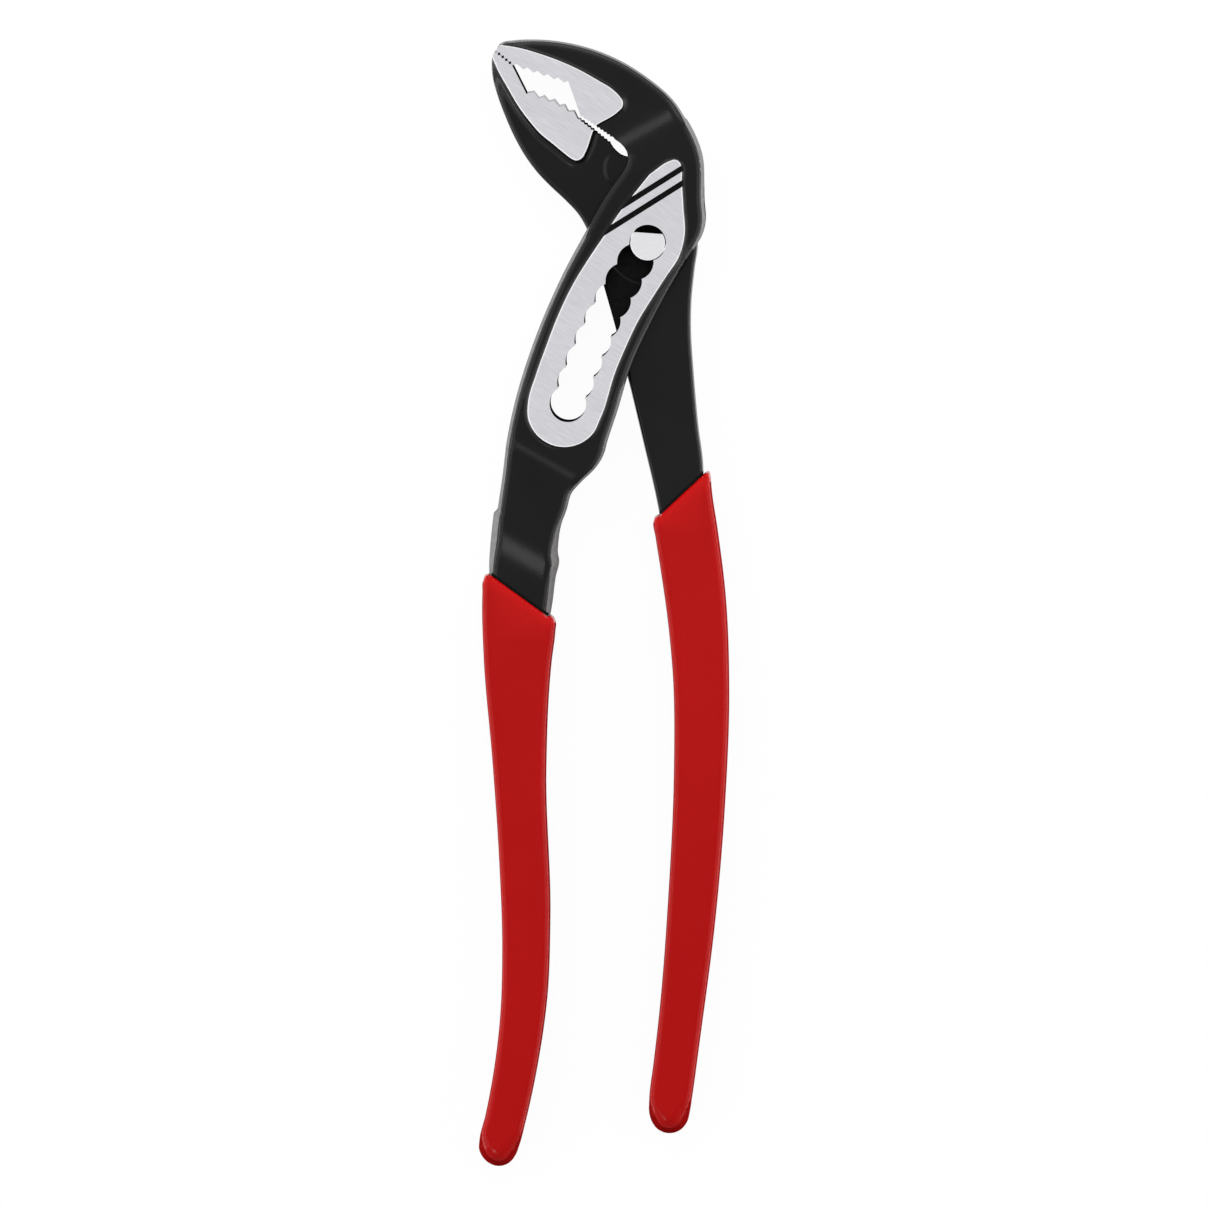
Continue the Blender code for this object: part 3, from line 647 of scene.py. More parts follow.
def relief(name, loops, seeds, kept, height, finish_of, finishes, wall, pocket=NOWHERE, pocket_top=0.0,
           painted_highlights=None, bare=NOWHERE):
    """Closed body with the given heights on both sides of the middle plane.

    A pocket is hollow up to pocket_top on both sides of that plane, and open where it meets the outline.
    Upright walls have the finish of number wall, and are bright inside the bare loop.
    """
    plan, triangles = plan_mesh(loops, seeds, kept)
    middles = plan[triangles].mean(axis=1)
    hollow = inside(middles, pocket)
    tops = height(plan)
    finish = finish_of(middles)
    ground_wall = inside(plan, bare)
    numbers = {}
    places = []

    def vertex(i, level):
        z = {"top": tops[i], "ceiling": pocket_top, "floor": -pocket_top, "bottom": -tops[i]}[level]
        key = (i, round(z, HEIGHT_DIGITS))
        if key not in numbers:
            numbers[key] = len(places)
            places.append((plan[i][0] * MM, plan[i][1] * MM, z * MM + MID_PLANE))
        return numbers[key]

    faces = []
    slots = []

    def add(corners, slot):
        ring = [vertex(i, level) for i, level in corners]
        ring = [v for k, v in enumerate(ring) if v != ring[k - 1]]
        if len(set(ring)) == len(ring) > 2:
            faces.append(ring)
            slots.append(slot)

    sides = {}
    for t, (a, b, c) in enumerate(triangles):
        add([(a, "top"), (b, "top"), (c, "top")], finish[t])
        add([(c, "bottom"), (b, "bottom"), (a, "bottom")], finish[t])
        if hollow[t]:
            add([(c, "ceiling"), (b, "ceiling"), (a, "ceiling")], wall)
            add([(a, "floor"), (b, "floor"), (c, "floor")], wall)
        sides.update({(a, b): t, (b, c): t, (c, a): t})
    shared = set(triangles[hollow].ravel()) & set(triangles[~hollow].ravel())
    for (a, b), t in sides.items():
        other = sides.get((b, a))
        if other is None and hollow[t]:
            add([(b, "top"), (a, "top"), (a, "ceiling"), (b, "ceiling")], wall)
            add([(b, "floor"), (a, "floor"), (a, "bottom"), (b, "bottom")], wall)
        elif other is None:
            side = [(b, "top"), (a, "top")]
            side += [(a, "ceiling"), (a, "floor")] if a in shared else []
            side += [(a, "bottom"), (b, "bottom")]
            side += [(b, "floor"), (b, "ceiling")] if b in shared else []
            add(side, BRIGHT if ground_wall[a] and ground_wall[b] else wall)
        elif hollow[other] and not hollow[t]:
            add([(b, "ceiling"), (a, "ceiling"), (a, "floor"), (b, "floor")], wall)

    made = mesh_object(name, places, faces, slots, finishes)
    if painted_highlights:
        # Mark for the painted highlights, read by the materials
        layer = made.data.attributes.new("mark", "FLOAT", "POINT")
        amount = painted_highlights(plan)
        layer.data.foreach_set("value", [amount[i] for i, _ in numbers])
    return made


# Colours, at both ends of their grain
OXIDE = ((0.0015, 0.0015, 0.0016), (0.003, 0.003, 0.0031))
# Lighter oxide for the painted highlight along the edges of the hanging cheeks
HIGHLIT_OXIDE = ((0.13, 0.13, 0.135), (0.19, 0.19, 0.195))
# Black without sheen for the walls and grooves, and for the painted shade in the pits, under the slot and
# along the grips' mouths
DULL_BLACK = ((0.006, 0.006, 0.006), (0.009, 0.009, 0.009))
# Darker black without sheen on the bolt's sunk flat: painted shade
BOLT_FLAT_SHADE = ((0.003, 0.003, 0.003), (0.005, 0.005, 0.005))
# Grey of the trimmed strips along the drafted sides, without sheen, which also stands in for their
# reflection: partly painted reflection
TRIMMED_STEEL_AND_REFLECTION = ((0.155, 0.155, 0.155), (0.205, 0.205, 0.205))
GROUND_STEEL = ((0.485, 0.485, 0.51), (0.59, 0.59, 0.615))
# Lighter steel on the rims round the ground faces: painted highlight of their edges
RIM_HIGHLIGHT_STEEL = ((0.67, 0.67, 0.685), (0.73, 0.73, 0.745))
BOLT_STEEL = ((0.61, 0.61, 0.63), (0.66, 0.66, 0.675))
RED = ((0.31, 0.0012, 0.0009), (0.333, 0.0018, 0.0014))
# Brighter red near each grip's mouth: painted highlight of the lip's slope
LIP_HIGHLIGHT_RED = ((0.38, 0.001, 0.001), (0.41, 0.0016, 0.0016))
# Darker red for the painted shade along the grips' sides and round their ends
SIDE_SHADE_RED = ((0.2, 0.003, 0.003), (0.23, 0.004, 0.004))
# Ways that the grinding lines run on the levers and on the bolt
FACE_GRAIN = math.radians(-32)
BOLT_GRAIN = math.radians(20)
# Part of a noise's range over which a colour changes into the other
RAMP_RANGE = (0.3, 0.7)


# Materials
def set_inputs(node, **values):
    """Give a node's inputs their values, with underscores for the spaces in their names."""
    for name, value in values.items():
        node.inputs[name.replace("_", " ")].default_value = value


class Shader:
    """A new node material and its Principled shader."""

    def __init__(self, name, metallic, specular, roughness=0.5):
        self.material = bpy.data.materials.new(name)
        self.material.use_nodes = True
        self.tree = self.material.node_tree
        self.surface = self.tree.nodes["Principled BSDF"]
        set_inputs(self.surface, Roughness=roughness, Metallic=metallic, Specular_IOR_Level=specular)

    def node(self, kind, **inputs):
        made = self.tree.nodes.new(kind)
        set_inputs(made, **inputs)
        return made

    def link(self, output, target):
        self.tree.links.new(output, target)

    def feed(self, name, output):
        """Let a node's output drive one input of the surface."""
        self.link(output, self.surface.inputs[name])

    def noise(self, scale, detail, stretch=(1, 1, 1), turn=0.0):
        """Noise in object space, stretched along a turned axis."""
        place = self.node("ShaderNodeTexCoord")
        mapping = self.node("ShaderNodeMapping", Scale=stretch, Rotation=(0, 0, turn))
        mapping.vector_type = "TEXTURE"
        texture = self.node("ShaderNodeTexNoise", Scale=scale, Detail=detail)
        self.link(place.outputs["Object"], mapping.inputs["Vector"])
        self.link(mapping.outputs["Vector"], texture.inputs["Vector"])
        return texture.outputs["Fac"]

    def ramp(self, factor, low, high):
        """Colours from one to the other over the middle of a factor's range."""
        made = self.node("ShaderNodeValToRGB")
        for stop, place, colour in zip(made.color_ramp.elements, RAMP_RANGE, (low, high)):
            stop.position = place
            stop.color = (*colour, 1)
        self.link(factor, made.inputs["Fac"])
        return made.outputs["Color"]

    def spread(self, factor, low, high):
        """A number that goes from low to high with a factor."""
        made = self.node("ShaderNodeMapRange", To_Min=low, To_Max=high)
        self.link(factor, made.inputs["Value"])
        return made.outputs["Result"]

    def with_painted_highlight(self, plain, changed):
        """A second colour where the mesh's own mark is set: a painted highlight."""
        mark = self.node("ShaderNodeAttribute")
        mark.attribute_name = "mark"
        mix = self.node("ShaderNodeMixRGB")
        self.link(mark.outputs["Fac"], mix.inputs["Fac"])
        self.link(plain, mix.inputs["Color1"])
        self.link(changed, mix.inputs["Color2"])
        return mix.outputs["Color"]

    def bump(self, factor, strength, height):
        made = self.node("ShaderNodeBump", Strength=strength, Distance=height)
        self.link(factor, made.inputs["Height"])
        self.feed("Normal", made.outputs["Normal"])


def black_oxide():
    shader = Shader("black_oxide", metallic=0.0, specular=0.15)
    grain = shader.noise(scale=2200.0, detail=4.0)
    cloud = shader.noise(scale=60.0, detail=3.0)
    dark = shader.ramp(cloud, *OXIDE)
    # Lighter colour for the painted highlight where the mesh's mark is set
    highlit = shader.ramp(grain, *HIGHLIT_OXIDE)
    shader.feed("Base Color", shader.with_painted_highlight(dark, highlit))
    shader.feed("Roughness", shader.spread(cloud, low=0.25, high=0.3))
    shader.bump(grain, strength=0.12, height=0.00004)
    return shader.material


def dull(name, low, high):
    """Steel without any sheen: machined walls, black grooves and trimmed strips, and painted shade in the
    pits, under the slot, along the grips' mouths and on the bolt's flat.
    """
    shader = Shader(name, metallic=0.0, specular=0.0, roughness=0.9)
    grain = shader.noise(scale=900.0, detail=3.0)
    shader.feed("Base Color", shader.ramp(grain, low, high))
    return shader.material


def ground_steel(name, low, high, turn):
    """Ground steel with fine lines along one direction."""
    shader = Shader(name, metallic=1.0, specular=0.5)
    lines = shader.noise(scale=2000.0, detail=6.0, stretch=(9.0, 0.5, 1.0), turn=turn)
    broad = shader.noise(scale=150.0, detail=2.0, stretch=(8.0, 1.0, 1.0), turn=turn)
    shader.feed("Base Color", shader.ramp(lines, low, high))
    shader.feed("Roughness", shader.spread(broad, low=0.34, high=0.46))
    shader.bump(lines, strength=0.10, height=0.00002)
    return shader.material


def dipped_plastic():
    shader = Shader("red_dipped", metallic=0.0, specular=0.1)
    cloud = shader.noise(scale=35.0, detail=3.0)
    skin = shader.noise(scale=700.0, detail=3.0)
    red = shader.ramp(cloud, *RED)
    # Brighter red near the mouth: painted highlight
    lip = shader.ramp(cloud, *LIP_HIGHLIGHT_RED)
    shader.feed("Base Color", shader.with_painted_highlight(red, lip))
    shader.feed("Roughness", shader.spread(skin, low=0.18, high=0.27))
    shader.bump(skin, strength=0.05, height=0.00005)
    return shader.material


def dipped_side_shade():
    """Darker red without sheen round the sides and the end of a grip: painted shade."""
    shader = Shader("red_side_shade", metallic=0.0, specular=0.0, roughness=0.8)
    skin = shader.noise(scale=700.0, detail=3.0)
    shader.feed("Base Color", shader.ramp(skin, *SIDE_SHADE_RED))
    shader.bump(skin, strength=0.05, height=0.00005)
    return shader.material


# The pieces
def slotted_edge(points):
    """Width of the trimmed strip, and width and radius of the crown, along the nearest edge."""
    x, y = points.T
    left = x < np.interp(y, *zip(*MIDDLE_LINE))
    found = []
    for column in (1, 2, 3):
        sides = [np.interp(-y, [-row[0] for row in table], [row[column] for row in table])
                 for table in (LEFT_EDGE, RIGHT_EDGE)]
        found.append(np.where(left, *sides))
    faded = TIP_EDGE + (1 - TIP_EDGE) * smooth_step((x - TIP_FROM_X) / TIP_FADE)
    tip = np.where(y > TIP_FROM_Y, faded, 1)
    return found[0], found[1] * tip, found[2] * tip


def inner_crown(points):
    """Width and radius of the inner lever's edge: crowned along the jaw, small along the neck."""
    full = smooth_step((points[:, 1] - INNER_CROWN_FROM_Y) / INNER_CROWN_FADE)
    width = INNER_EDGE + (INNER_CROWN_WIDTH - INNER_EDGE) * full
    return width, INNER_EDGE + (INNER_CROWN_RADIUS - INNER_EDGE) * full


def slotted_lever(finishes):
    left, end, right = tang(SLOTTED_GRIP_RIGHT, SLOTTED_GRIP_LEFT, GRIP_WALL + GRIP_GAP)
    head = SLOTTED_RIGHT + SLOTTED_TIP + SLOTTED_UNDERSIDE + SLOTTED_LEFT
    outline = smooth_outline(end + right + head + left)
    jaw_face = smooth_outline(UPPER_JAW_FACE)
    slot_face = slot_face_outline()
    slot = slot_outline(HOLE_RADIUS)
    bite = upper_bite()
    pocket = subdivide(pocket_outline())
    grooves = [subdivide(stripe_outline(i, 0.0)) for i in range(STRIPE_COUNT)]
    banks = [subdivide(stripe_outline(i, STRIPE_WALL)) for i in range(STRIPE_COUNT)]
    mouth_shadow_strip = mouth_shadow(SLOTTED_GRIP_MOUTH)
    pits = front_pits()
    # Banks round the pits, dark with painted shade
    pit_banks = [grown(pit, STRIPE_WALL) for pit in pits]

    def kept(points):
        return inside(points, outline) & ~inside(points, bite) & ~inside(points, slot)

    def height(points):
        gap = distance(points, outline)
        top = CHEEK_TOP - sum(slope.lost * band(points, slope) for slope in SLOPES)
        near = smooth_step(1 - np.maximum(0, -depth(points, pocket)) / POCKET_BLEND)
        base = FLASH_TOP + (POCKET_TOP - FLASH_TOP) * near
        draft, width, radius = slotted_edge(points)
        body = forged(gap, top, width, radius, draft, base)
        body = ground(body, depth(points, jaw_face), JAW_FACE_TOP, UPPER_JAW_TOP, UPPER_FILLET)
        body = ground(body, depth(points, slot_face), SLOT_FACE_TOP, CHEEK_TOP, SLOT_FILLET)
        body = sink(body, points, grooves, SLOT_FACE_TOP - STRIPE_DEPTH)
        return sink(body, points, pits, PIT_TOP)

    def finish_of(points):
        on_slot_face = inside(points, slot_face)
        finish = np.where(inside(points, jaw_face) | on_slot_face, BRIGHT, BLACK)
        # Painted highlight: lighter steel on the rim round each ground face
        for face in (jaw_face, slot_face):
            finish[inside(points, face) & (distance(points, face) < RIM)] = RIM_HIGHLIGHT
        for bank in banks:
            finish[inside(points, bank) & on_slot_face] = DARK
        # Trimmed strips along the wider drafted sides: flat grey that also stands in for their reflection
        draft = slotted_edge(points)[0]
        finish[(distance(points, outline) < draft) & (draft > BARE_STRIP)] = TRIMMED_AND_REFLECTION
        # Painted shade in the pits and painted shadow along the grip's mouth
        for dark in pit_banks + [mouth_shadow_strip]:
            finish[inside(points, dark)] = DARK
        return finish

    # Painted highlight: a lighter colour along the edges of the cheeks that hang over the inner lever
    def painted_highlights(points):
        gap = distance(points, outline)
        hanging = slotted_edge(points)[0] < BARE_STRIP
        return CHEEK_HIGHLIGHT * hanging * smooth_step((CHEEK_HIGHLIGHT_WIDTH - gap) / CHEEK_HIGHLIGHT_FADE)

    draft, width, _ = slotted_edge(outline)
    edge_rings = round_steps(draft, width)
    slopes = np.concatenate([band_grid(slope) for slope in SLOPES])
    slope_draft, slope_crown, _ = slotted_edge(slopes)
    slopes = slopes[depth(slopes, outline) > slope_draft + slope_crown + FLAT_MARGIN]
    fillets = fillet_steps(SLOT_FACE_TOP, CHEEK_TOP, SLOT_FILLET)
    jaw_fillets = fillet_steps(JAW_FACE_TOP, UPPER_JAW_TOP, UPPER_FILLET)
    seeds = np.concatenate([rings(outline, edge_rings), rings(slot_face, fillets + RIM_STEPS),
                            rings(jaw_face, jaw_fillets + RIM_STEPS), slopes])
    loops = [outline, jaw_face, slot_face, slot, bite, pocket, mouth_shadow_strip]
    loops += grooves + banks + pits + pit_banks
    return relief("forged_slotted_lever", loops, seeds, kept, height, finish_of, finishes, wall=DARK,
                  pocket=pocket, pocket_top=POCKET_TOP, painted_highlights=painted_highlights)


def inner_lever(finishes):
    left, end, right = tang(INNER_GRIP_RIGHT, INNER_GRIP_LEFT, GRIP_WALL + GRIP_GAP)
    root = list(arc((0, 0), ROOT_RADIUS, 0, math.pi / 2, KNOT_STEPS))
    head = INNER_RIGHT + root + INNER_JAW_TOP + INNER_TIP + INNER_LEFT
    outline = smooth_outline(end + right + head + left)
    jaw_face = smooth_outline(LOWER_JAW_FACE)
    bite = lower_bite()
    bore = circle((0, 0), HOLE_RADIUS)
    mouth_shadow_strip = mouth_shadow(INNER_GRIP_MOUTH)
    # Painted shade on the inner lever where the slot's walls shade it
    shade = slot_outline(HOLE_RADIUS + SLOT_SHADE)
    pits = front_pits() + [front_wall()]
    # Banks round the pits and the front wall, dark with painted shade
    pit_banks = [grown(pit, STRIPE_WALL) for pit in pits]

    def kept(points):
        return inside(points, outline) & ~inside(points, bite) & ~inside(points, bore)

    def height(points):
        gap = distance(points, outline)
        width, radius = inner_crown(points)
        body = forged(gap, INNER_TOP, width, radius, INNER_DRAFT, FLASH_TOP)
        within = RELIEF_RADIUS - np.linalg.norm(points - RELIEF_CENTRE, axis=1)
        sunk = 1 - np.clip(1 - within / RELIEF_SLOPE, 0, 1) ** 2
        body = np.minimum(body, INNER_TOP - RELIEF_DEPTH * np.where(within > 0, sunk, 0))
        ring = np.linalg.norm(points, axis=1) - SPOT_RADIUS
        body = np.minimum(body, INNER_TOP - SPOT_DEPTH * smooth_step(-ring / SPOT_SLOPE))
        body = ground(body, depth(points, jaw_face), JAW_FACE_TOP, INNER_TOP, LOWER_FILLET)
        return sink(body, points, pits, PIT_TOP)

    def finish_of(points):
        finish = np.where(inside(points, jaw_face), BRIGHT, BLACK)
        # Painted highlight: lighter steel on the rim round the jaw's ground face
        finish[inside(points, jaw_face) & (distance(points, jaw_face) < RIM)] = RIM_HIGHLIGHT
        # Painted shade in the pits, on the front wall and under the slot, and painted shadow along the
        # grip's mouth
        for dark in pit_banks + [mouth_shadow_strip, shade]:
            finish[inside(points, dark)] = DARK
        out = np.linalg.norm(points, axis=1)
        finish[(out > SPOT_RADIUS - SPOT_SLOPE) & (out < SPOT_RADIUS)] = BLACK
        return finish

    edge_rings = round_steps(INNER_DRAFT, inner_crown(outline)[0])
    spot_edge = circle((0, 0), SPOT_RADIUS)
    spot_rings = slope_steps(SPOT_SLOPE, SPOT_STEPS)
    fillets = fillet_steps(JAW_FACE_TOP, INNER_TOP, LOWER_FILLET)
    relief_edge = circle(RELIEF_CENTRE, RELIEF_RADIUS)
    relief_rings = slope_steps(RELIEF_SLOPE, ROUND_STEPS)
    seeds = np.concatenate([rings(outline, edge_rings), rings(jaw_face, fillets + RIM_STEPS),
                            rings(relief_edge, relief_rings), rings(spot_edge, spot_rings)])
    loops = [outline, jaw_face, bite, bore, relief_edge, spot_edge, mouth_shadow_strip, shade] + pits + pit_banks
    return relief("forged_inner_lever", loops, seeds, kept, height, finish_of, finishes, wall=DARK,
                  bare=TOOTH_WALLS)


def hinge_bolt(finishes):
    outline = circle((0, 0), BOLT_RADIUS)
    out = direction(BOLT_FLAT_ANGLE)
    across = np.array([-out[1], out[0]]) * 2 * BOLT_RADIUS
    low = out * BOLT_FLAT_OFFSET
    high = out * (BOLT_FLAT_OFFSET + STRIPE_WALL)
    far = out * 3 * BOLT_RADIUS
    bank = np.array([low + across, low - across, far - across, far + across])
    flat = np.array([high + across, high - across, far - across, far + across])

    def kept(points):
        return inside(points, outline)

    def height(points):
        top = SLOT_FACE_TOP - RIM_DROP * np.clip(1 - distance(points, outline) / RIM, 0, 1)
        return np.where(depth(points, flat) > -STRIPE_WALL / 2, POCKET_TOP, top)

    def finish_of(points):
        # The sunk flat and its sides take the painted shade
        return np.where(inside(points, bank), BLACK, BRIGHT)

    seeds = rings(outline, RIM_STEPS)
    return relief("ground_hinge_bolt", [outline, bank, flat], seeds, kept, height, finish_of, finishes,
                  wall=BLACK)


def grip_crown(points, round_from):
    """Width and radius of a grip's edge: small along its sides, wide round its end."""
    full = smooth_step((round_from - points[:, 1]) / GRIP_END_LENGTH)
    width = GRIP_EDGE + (GRIP_END_EDGE - GRIP_EDGE) * full
    return width, GRIP_RADIUS + (GRIP_END_EDGE - GRIP_RADIUS) * full


def grip(name, right, mouth, left, end, neck_right, neck_left, steel_top, finishes):
    """Dipped sleeve with soft edges, a round end and a thinner lip at its mouth."""
    outline = smooth_outline(right + mouth + left + end)
    inner_left, low, inner_right = tang(right, left, GRIP_WALL)
    room = smooth_outline(low + inner_right + moved_edge(neck_right, GRIP_GAP)
                          + moved_edge(neck_left, -GRIP_GAP) + inner_left)
    room_top = steel_top + GRIP_GAP
    lip_line = lip_edge(mouth)
    round_from = end[-1][1] + GRIP_END_LENGTH

    def kept(points):
        return inside(points, outline)

    def height(points):
        gap = distance(points, outline)
        lip_gap = distance(points, lip_line, closed=False)
        near = smooth_step(1 - lip_gap / (2 * LIP_EDGE))
        base = FLASH_TOP + (room_top - FLASH_TOP) * np.where(depth(points, room) > -GRIP_GAP, near, 0)
        width, radius = grip_crown(points, round_from)
        body = forged(gap, GRIP_TOP, width, radius, GRIP_DRAFT, base)
        lip_top = GRIP_TOP - LIP_DROP * (1 - smooth_step(lip_gap / LIP_SLOPE))
        edge = np.sqrt(1 - np.clip(1 - lip_gap / LIP_EDGE, 0, 1) ** 2)
        lip = np.minimum(lip_top - LIP_EDGE * (1 - edge), np.maximum(body, base))
        return np.where(lip_gap < LIP_SLOPE, lip, body)

    def finish_of(points):
        # Painted shade: darker red without sheen along the sides, wider round the end
        dull_width = GRIP_DRAFT + END_BAND * (grip_crown(points, round_from)[0] - GRIP_EDGE)
        side = distance(points, outline) < dull_width
        return np.where(side & (distance(points, lip_line, closed=False) > LIP_SLOPE), SIDE_SHADE, DIPPED)

    # Painted highlight: brighter red that fades away from the mouth
    def painted_highlights(points):
        return smooth_step(1 - distance(points, lip_line, closed=False) / LIP_HIGHLIGHT_FADE)

    edge_rings = [GRIP_DRAFT / 2] + round_steps(GRIP_DRAFT, grip_crown(outline, round_from)[0])
    seeds = rings(outline, edge_rings)
    return relief(name, [outline, room], seeds, kept, height, finish_of, finishes, wall=DIPPED,
                  pocket=room, pocket_top=room_top, painted_highlights=painted_highlights)


# The photograph's frame: its side in pixels, the pixel at the hinge bolt, and millimetres per pixel
PHOTO_SIDE = 1208
BOLT_PIXEL = (648, 242)
PIXEL = 250.0 / 1127
# Camera: its distance and the height it is aimed at in metres, its turn, and the way towards it
CAMERA_DISTANCE = 1.2
AIM_HEIGHT = 0.011
CAMERA_TURN = Euler((math.radians(-2.2), math.radians(1.0), 0))
VIEW = CAMERA_TURN.to_matrix() @ Vector((0, 0, 1))

# Lamps: name, place across and along the tool from its middle and above the floor in metres, size in
# metres, power in watts, and whether shiny surfaces show it
SIDE_SIZE = (1.2, 0.3)
UPPER_SIZE = (1.0, 0.3)
LAMPS = [("overhead", (0.0, 0.42, 0.9), (1.1, 1.1), 8.0, False),
         ("jaw_side", (0.0, 0.85, 0.17), SIDE_SIZE, 3.2, True),
         ("left_side", (-0.85, 0.0, 0.17), SIDE_SIZE, 6.6, True),
         ("right_side", (0.85, 0.0, 0.17), SIDE_SIZE, 7.2, True),
         ("left_upper", (-0.7, 0.0, 0.72), UPPER_SIZE, 2.6, True),
         ("right_upper", (0.7, 0.0, 0.72), UPPER_SIZE, 2.6, True)]
# Lamps for the slopes: size in metres and power in watts
SLOPE_LAMP_SIZE = (0.12, 0.12)
JAW_SLOPE_POWER = 0.8
TANG_SLOPE_POWER = 0.9
# Steepest part of a slope, and a little more, against its mean
STEEPEST = 2.0

# Floor and surroundings
FLOOR_SIZE = 6.0
FLOOR_COLOUR = (0.9, 0.9, 0.9, 1)
FLOOR_GLOW = 0.96
WORLD_LIGHT = 0.03
WHITE = (1, 1, 1, 1)


# Stage
def area_light(name, place, target, size, power, mirrored):
    data = bpy.data.lights.new(name, "AREA")
    data.shape = "RECTANGLE"
    data.size, data.size_y = size
    data.energy = power
    light = bpy.data.objects.new(name, data)
    bpy.context.collection.objects.link(light)
    light.location = place
    light.rotation_euler = (Vector(target) - Vector(place)).to_track_quat("-Z", "Y").to_euler()
    light.visible_camera = False
    light.visible_glossy = mirrored


def slope_light(name, slope, power):
    """Small lamp that a slope mirrors up to the camera where it is steepest."""
    way = direction(slope.way)
    tilt = math.atan(STEEPEST * slope.lost / slope.run)
    middle = Vector((*(np.array(slope.place) + way * slope.run / 2) * MM, cad_high.z))
    normal = Vector((*way * math.sin(tilt), math.cos(tilt)))
    towards = 2 * normal.dot(VIEW) * normal - VIEW
    area_light(name, middle + towards, middle, SLOPE_LAMP_SIZE, power, True)


def lights():
    centre = (cad_low + cad_high) / 2
    for name, (across, along, height), size, power, mirrored in LAMPS:
        area_light(name, (centre.x + across, centre.y + along, height), centre, size, power, mirrored)
    slope_light("jaw_slope", JAW_SLOPE, JAW_SLOPE_POWER)
    slope_light("tang_slope", TANG_SLOPE, TANG_SLOPE_POWER)


def background_rays(tree):
    """1 for the rays that see the background: from the camera, and off or through shiny surfaces."""
    rays = tree.nodes.new("ShaderNodeLightPath")
    seen = rays.outputs["Is Camera Ray"]
    for kind in ("Is Glossy Ray", "Is Transmission Ray"):
        larger = tree.nodes.new("ShaderNodeMath")
        larger.operation = "MAXIMUM"
        tree.links.new(seen, larger.inputs[0])
        tree.links.new(rays.outputs[kind], larger.inputs[1])
        seen = larger.outputs["Value"]
    return seen


def white_floor():
    """White floor that keeps a soft shadow of the tool."""
    bpy.ops.mesh.primitive_plane_add(size=FLOOR_SIZE)
    floor = bpy.context.object
    floor.name = "floor"
    material = bpy.data.materials.new("floor")
    material.use_nodes = True
    tree = material.node_tree
    surface = tree.nodes["Principled BSDF"]
    set_inputs(surface, Base_Color=FLOOR_COLOUR, Roughness=1.0, Specular_IOR_Level=0.0)
    glow = tree.nodes.new("ShaderNodeEmission")
    share = tree.nodes.new("ShaderNodeMath")
    share.operation = "MULTIPLY"
    share.inputs[1].default_value = FLOOR_GLOW
    mix = tree.nodes.new("ShaderNodeMixShader")
    tree.links.new(background_rays(tree), share.inputs[0])
    tree.links.new(share.outputs["Value"], mix.inputs["Fac"])
    tree.links.new(surface.outputs["BSDF"], mix.inputs[1])
    tree.links.new(glow.outputs["Emission"], mix.inputs[2])
    tree.links.new(mix.outputs["Shader"], tree.nodes["Material Output"].inputs["Surface"])
    floor.data.materials.append(material)


def studio_world():
    """Surroundings that look white, and give little light of their own."""
    world = bpy.data.worlds.new("studio")
    world.use_nodes = True
    tree = world.node_tree
    dim = tree.nodes["Background"]
    set_inputs(dim, Color=WHITE, Strength=WORLD_LIGHT)
    white = tree.nodes.new("ShaderNodeBackground")
    set_inputs(white, Color=WHITE)
    mix = tree.nodes.new("ShaderNodeMixShader")
    tree.links.new(background_rays(tree), mix.inputs["Fac"])
    tree.links.new(dim.outputs["Background"], mix.inputs[1])
    tree.links.new(white.outputs["Background"], mix.inputs[2])
    tree.links.new(mix.outputs["Shader"], tree.nodes["World Output"].inputs["Surface"])
    bpy.context.scene.world = world


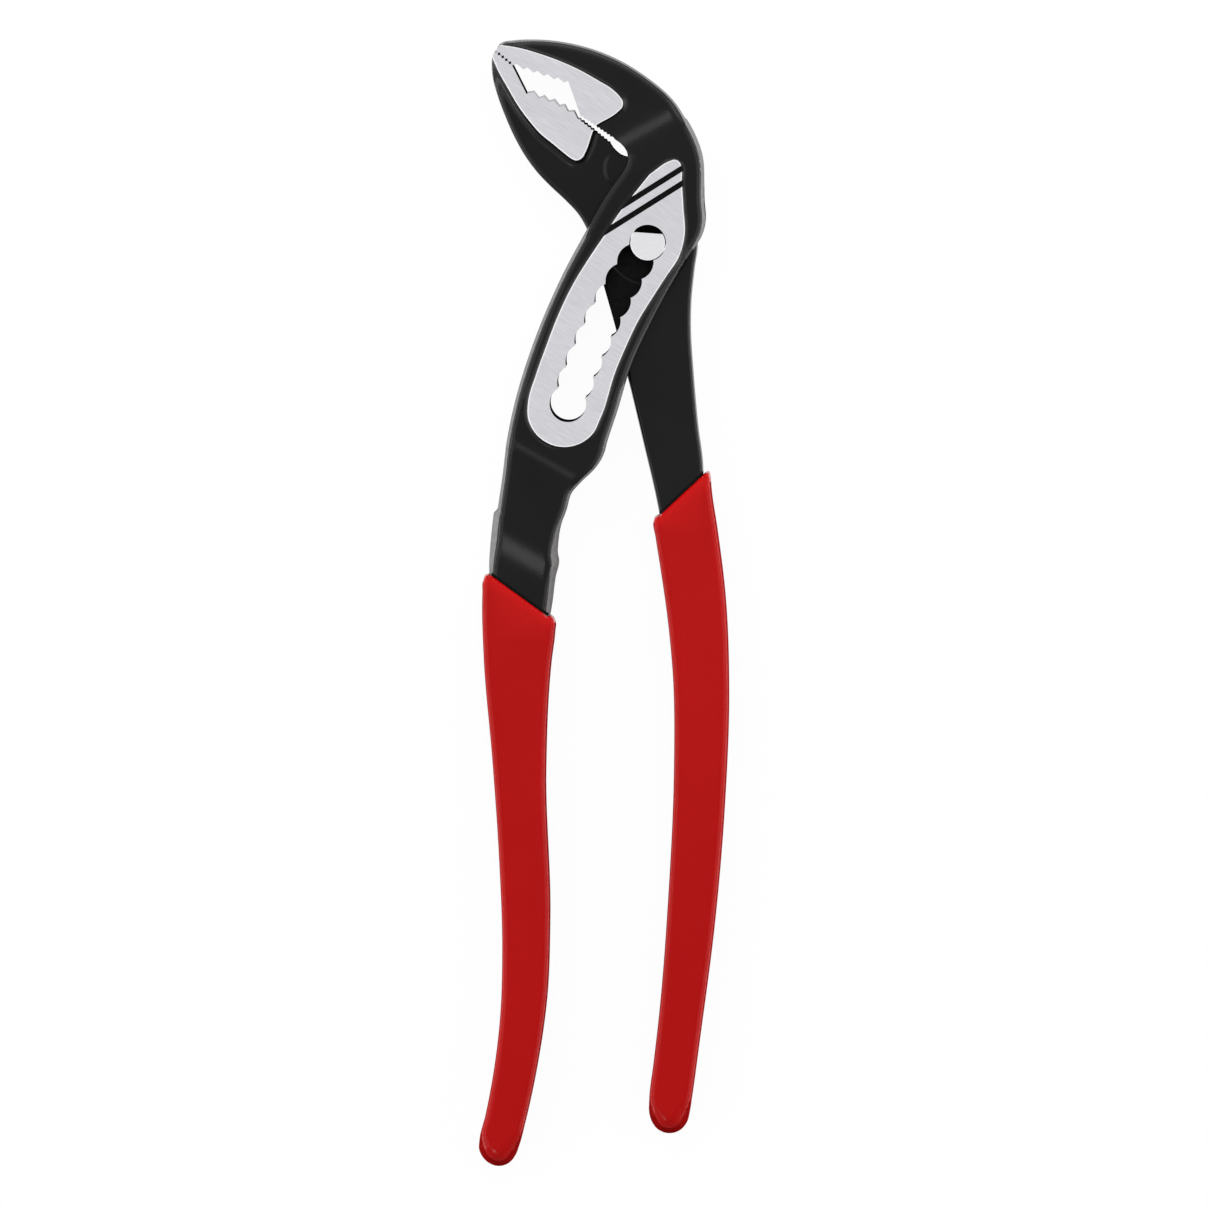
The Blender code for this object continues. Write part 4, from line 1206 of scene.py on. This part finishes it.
def camera():
    """Straight down on the tool, tilted a little, so that the lower left walls of the slot show."""
    data = bpy.data.cameras.new("camera")
    data.type = "ORTHO"
    data.ortho_scale = PHOTO_SIDE * PIXEL * MM
    made = bpy.data.objects.new("camera", data)
    bpy.context.collection.objects.link(made)
    middle = Vector((PHOTO_SIDE / 2 - BOLT_PIXEL[0], BOLT_PIXEL[1] - PHOTO_SIDE / 2)) * PIXEL * MM
    made.rotation_euler = CAMERA_TURN
    made.location = Vector((middle.x, middle.y, AIM_HEIGHT)) + VIEW * CAMERA_DISTANCE
    bpy.context.scene.camera = made


def dress():
    black = black_oxide()
    brushed = ground_steel("ground_face", *GROUND_STEEL, FACE_GRAIN)
    # Painted highlight round the ground faces
    rim = ground_steel("rim_painted_highlight", *RIM_HIGHLIGHT_STEEL, FACE_GRAIN)
    bolt_steel = ground_steel("bolt_face", *BOLT_STEEL, BOLT_GRAIN)
    walls_and_shade = dull("dull_black", *DULL_BLACK)
    shaded_flat = dull("bolt_flat_shade_black", *BOLT_FLAT_SHADE)
    trimmed_and_reflection = dull("trimmed_edge_and_reflection", *TRIMMED_STEEL_AND_REFLECTION)
    red = [dipped_plastic(), dipped_side_shade()]
    slotted = slotted_lever([black, brushed, walls_and_shade, rim, trimmed_and_reflection])
    inner = inner_lever([black, brushed, walls_and_shade, rim])
    bolt = hinge_bolt([shaded_flat, bolt_steel])
    slotted_grip = grip("dipped_slotted_lever_grip", SLOTTED_GRIP_RIGHT, SLOTTED_GRIP_MOUTH,
                        SLOTTED_GRIP_LEFT, SLOTTED_GRIP_END, SLOTTED_RIGHT[:2], SLOTTED_LEFT[-2:],
                        TANG_TOP, red)
    inner_grip = grip("dipped_inner_lever_grip", INNER_GRIP_RIGHT, INNER_GRIP_MOUTH, INNER_GRIP_LEFT,
                      INNER_GRIP_END, INNER_RIGHT[:2], INNER_LEFT[-2:], INNER_TOP, red)
    for piece, body, node, slot in (
            (slotted, "slotted_lever", "slotted_lever", "black_oxide_steel"),
            (slotted_grip, "slotted_lever", "slotted_lever_grip", "red_dipped_plastic"),
            (bolt, "hinge_bolt", "hinge_bolt", "ground_steel"),
            (inner, "inner_lever", "inner_lever", "black_oxide_steel"),
            (inner_grip, "inner_lever", "inner_lever_grip", "red_dipped_plastic")):
        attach(piece, body)
        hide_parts(node)


dress()
white_floor()
studio_world()
lights()
camera()
bpy.context.scene.view_settings.view_transform = "Standard"
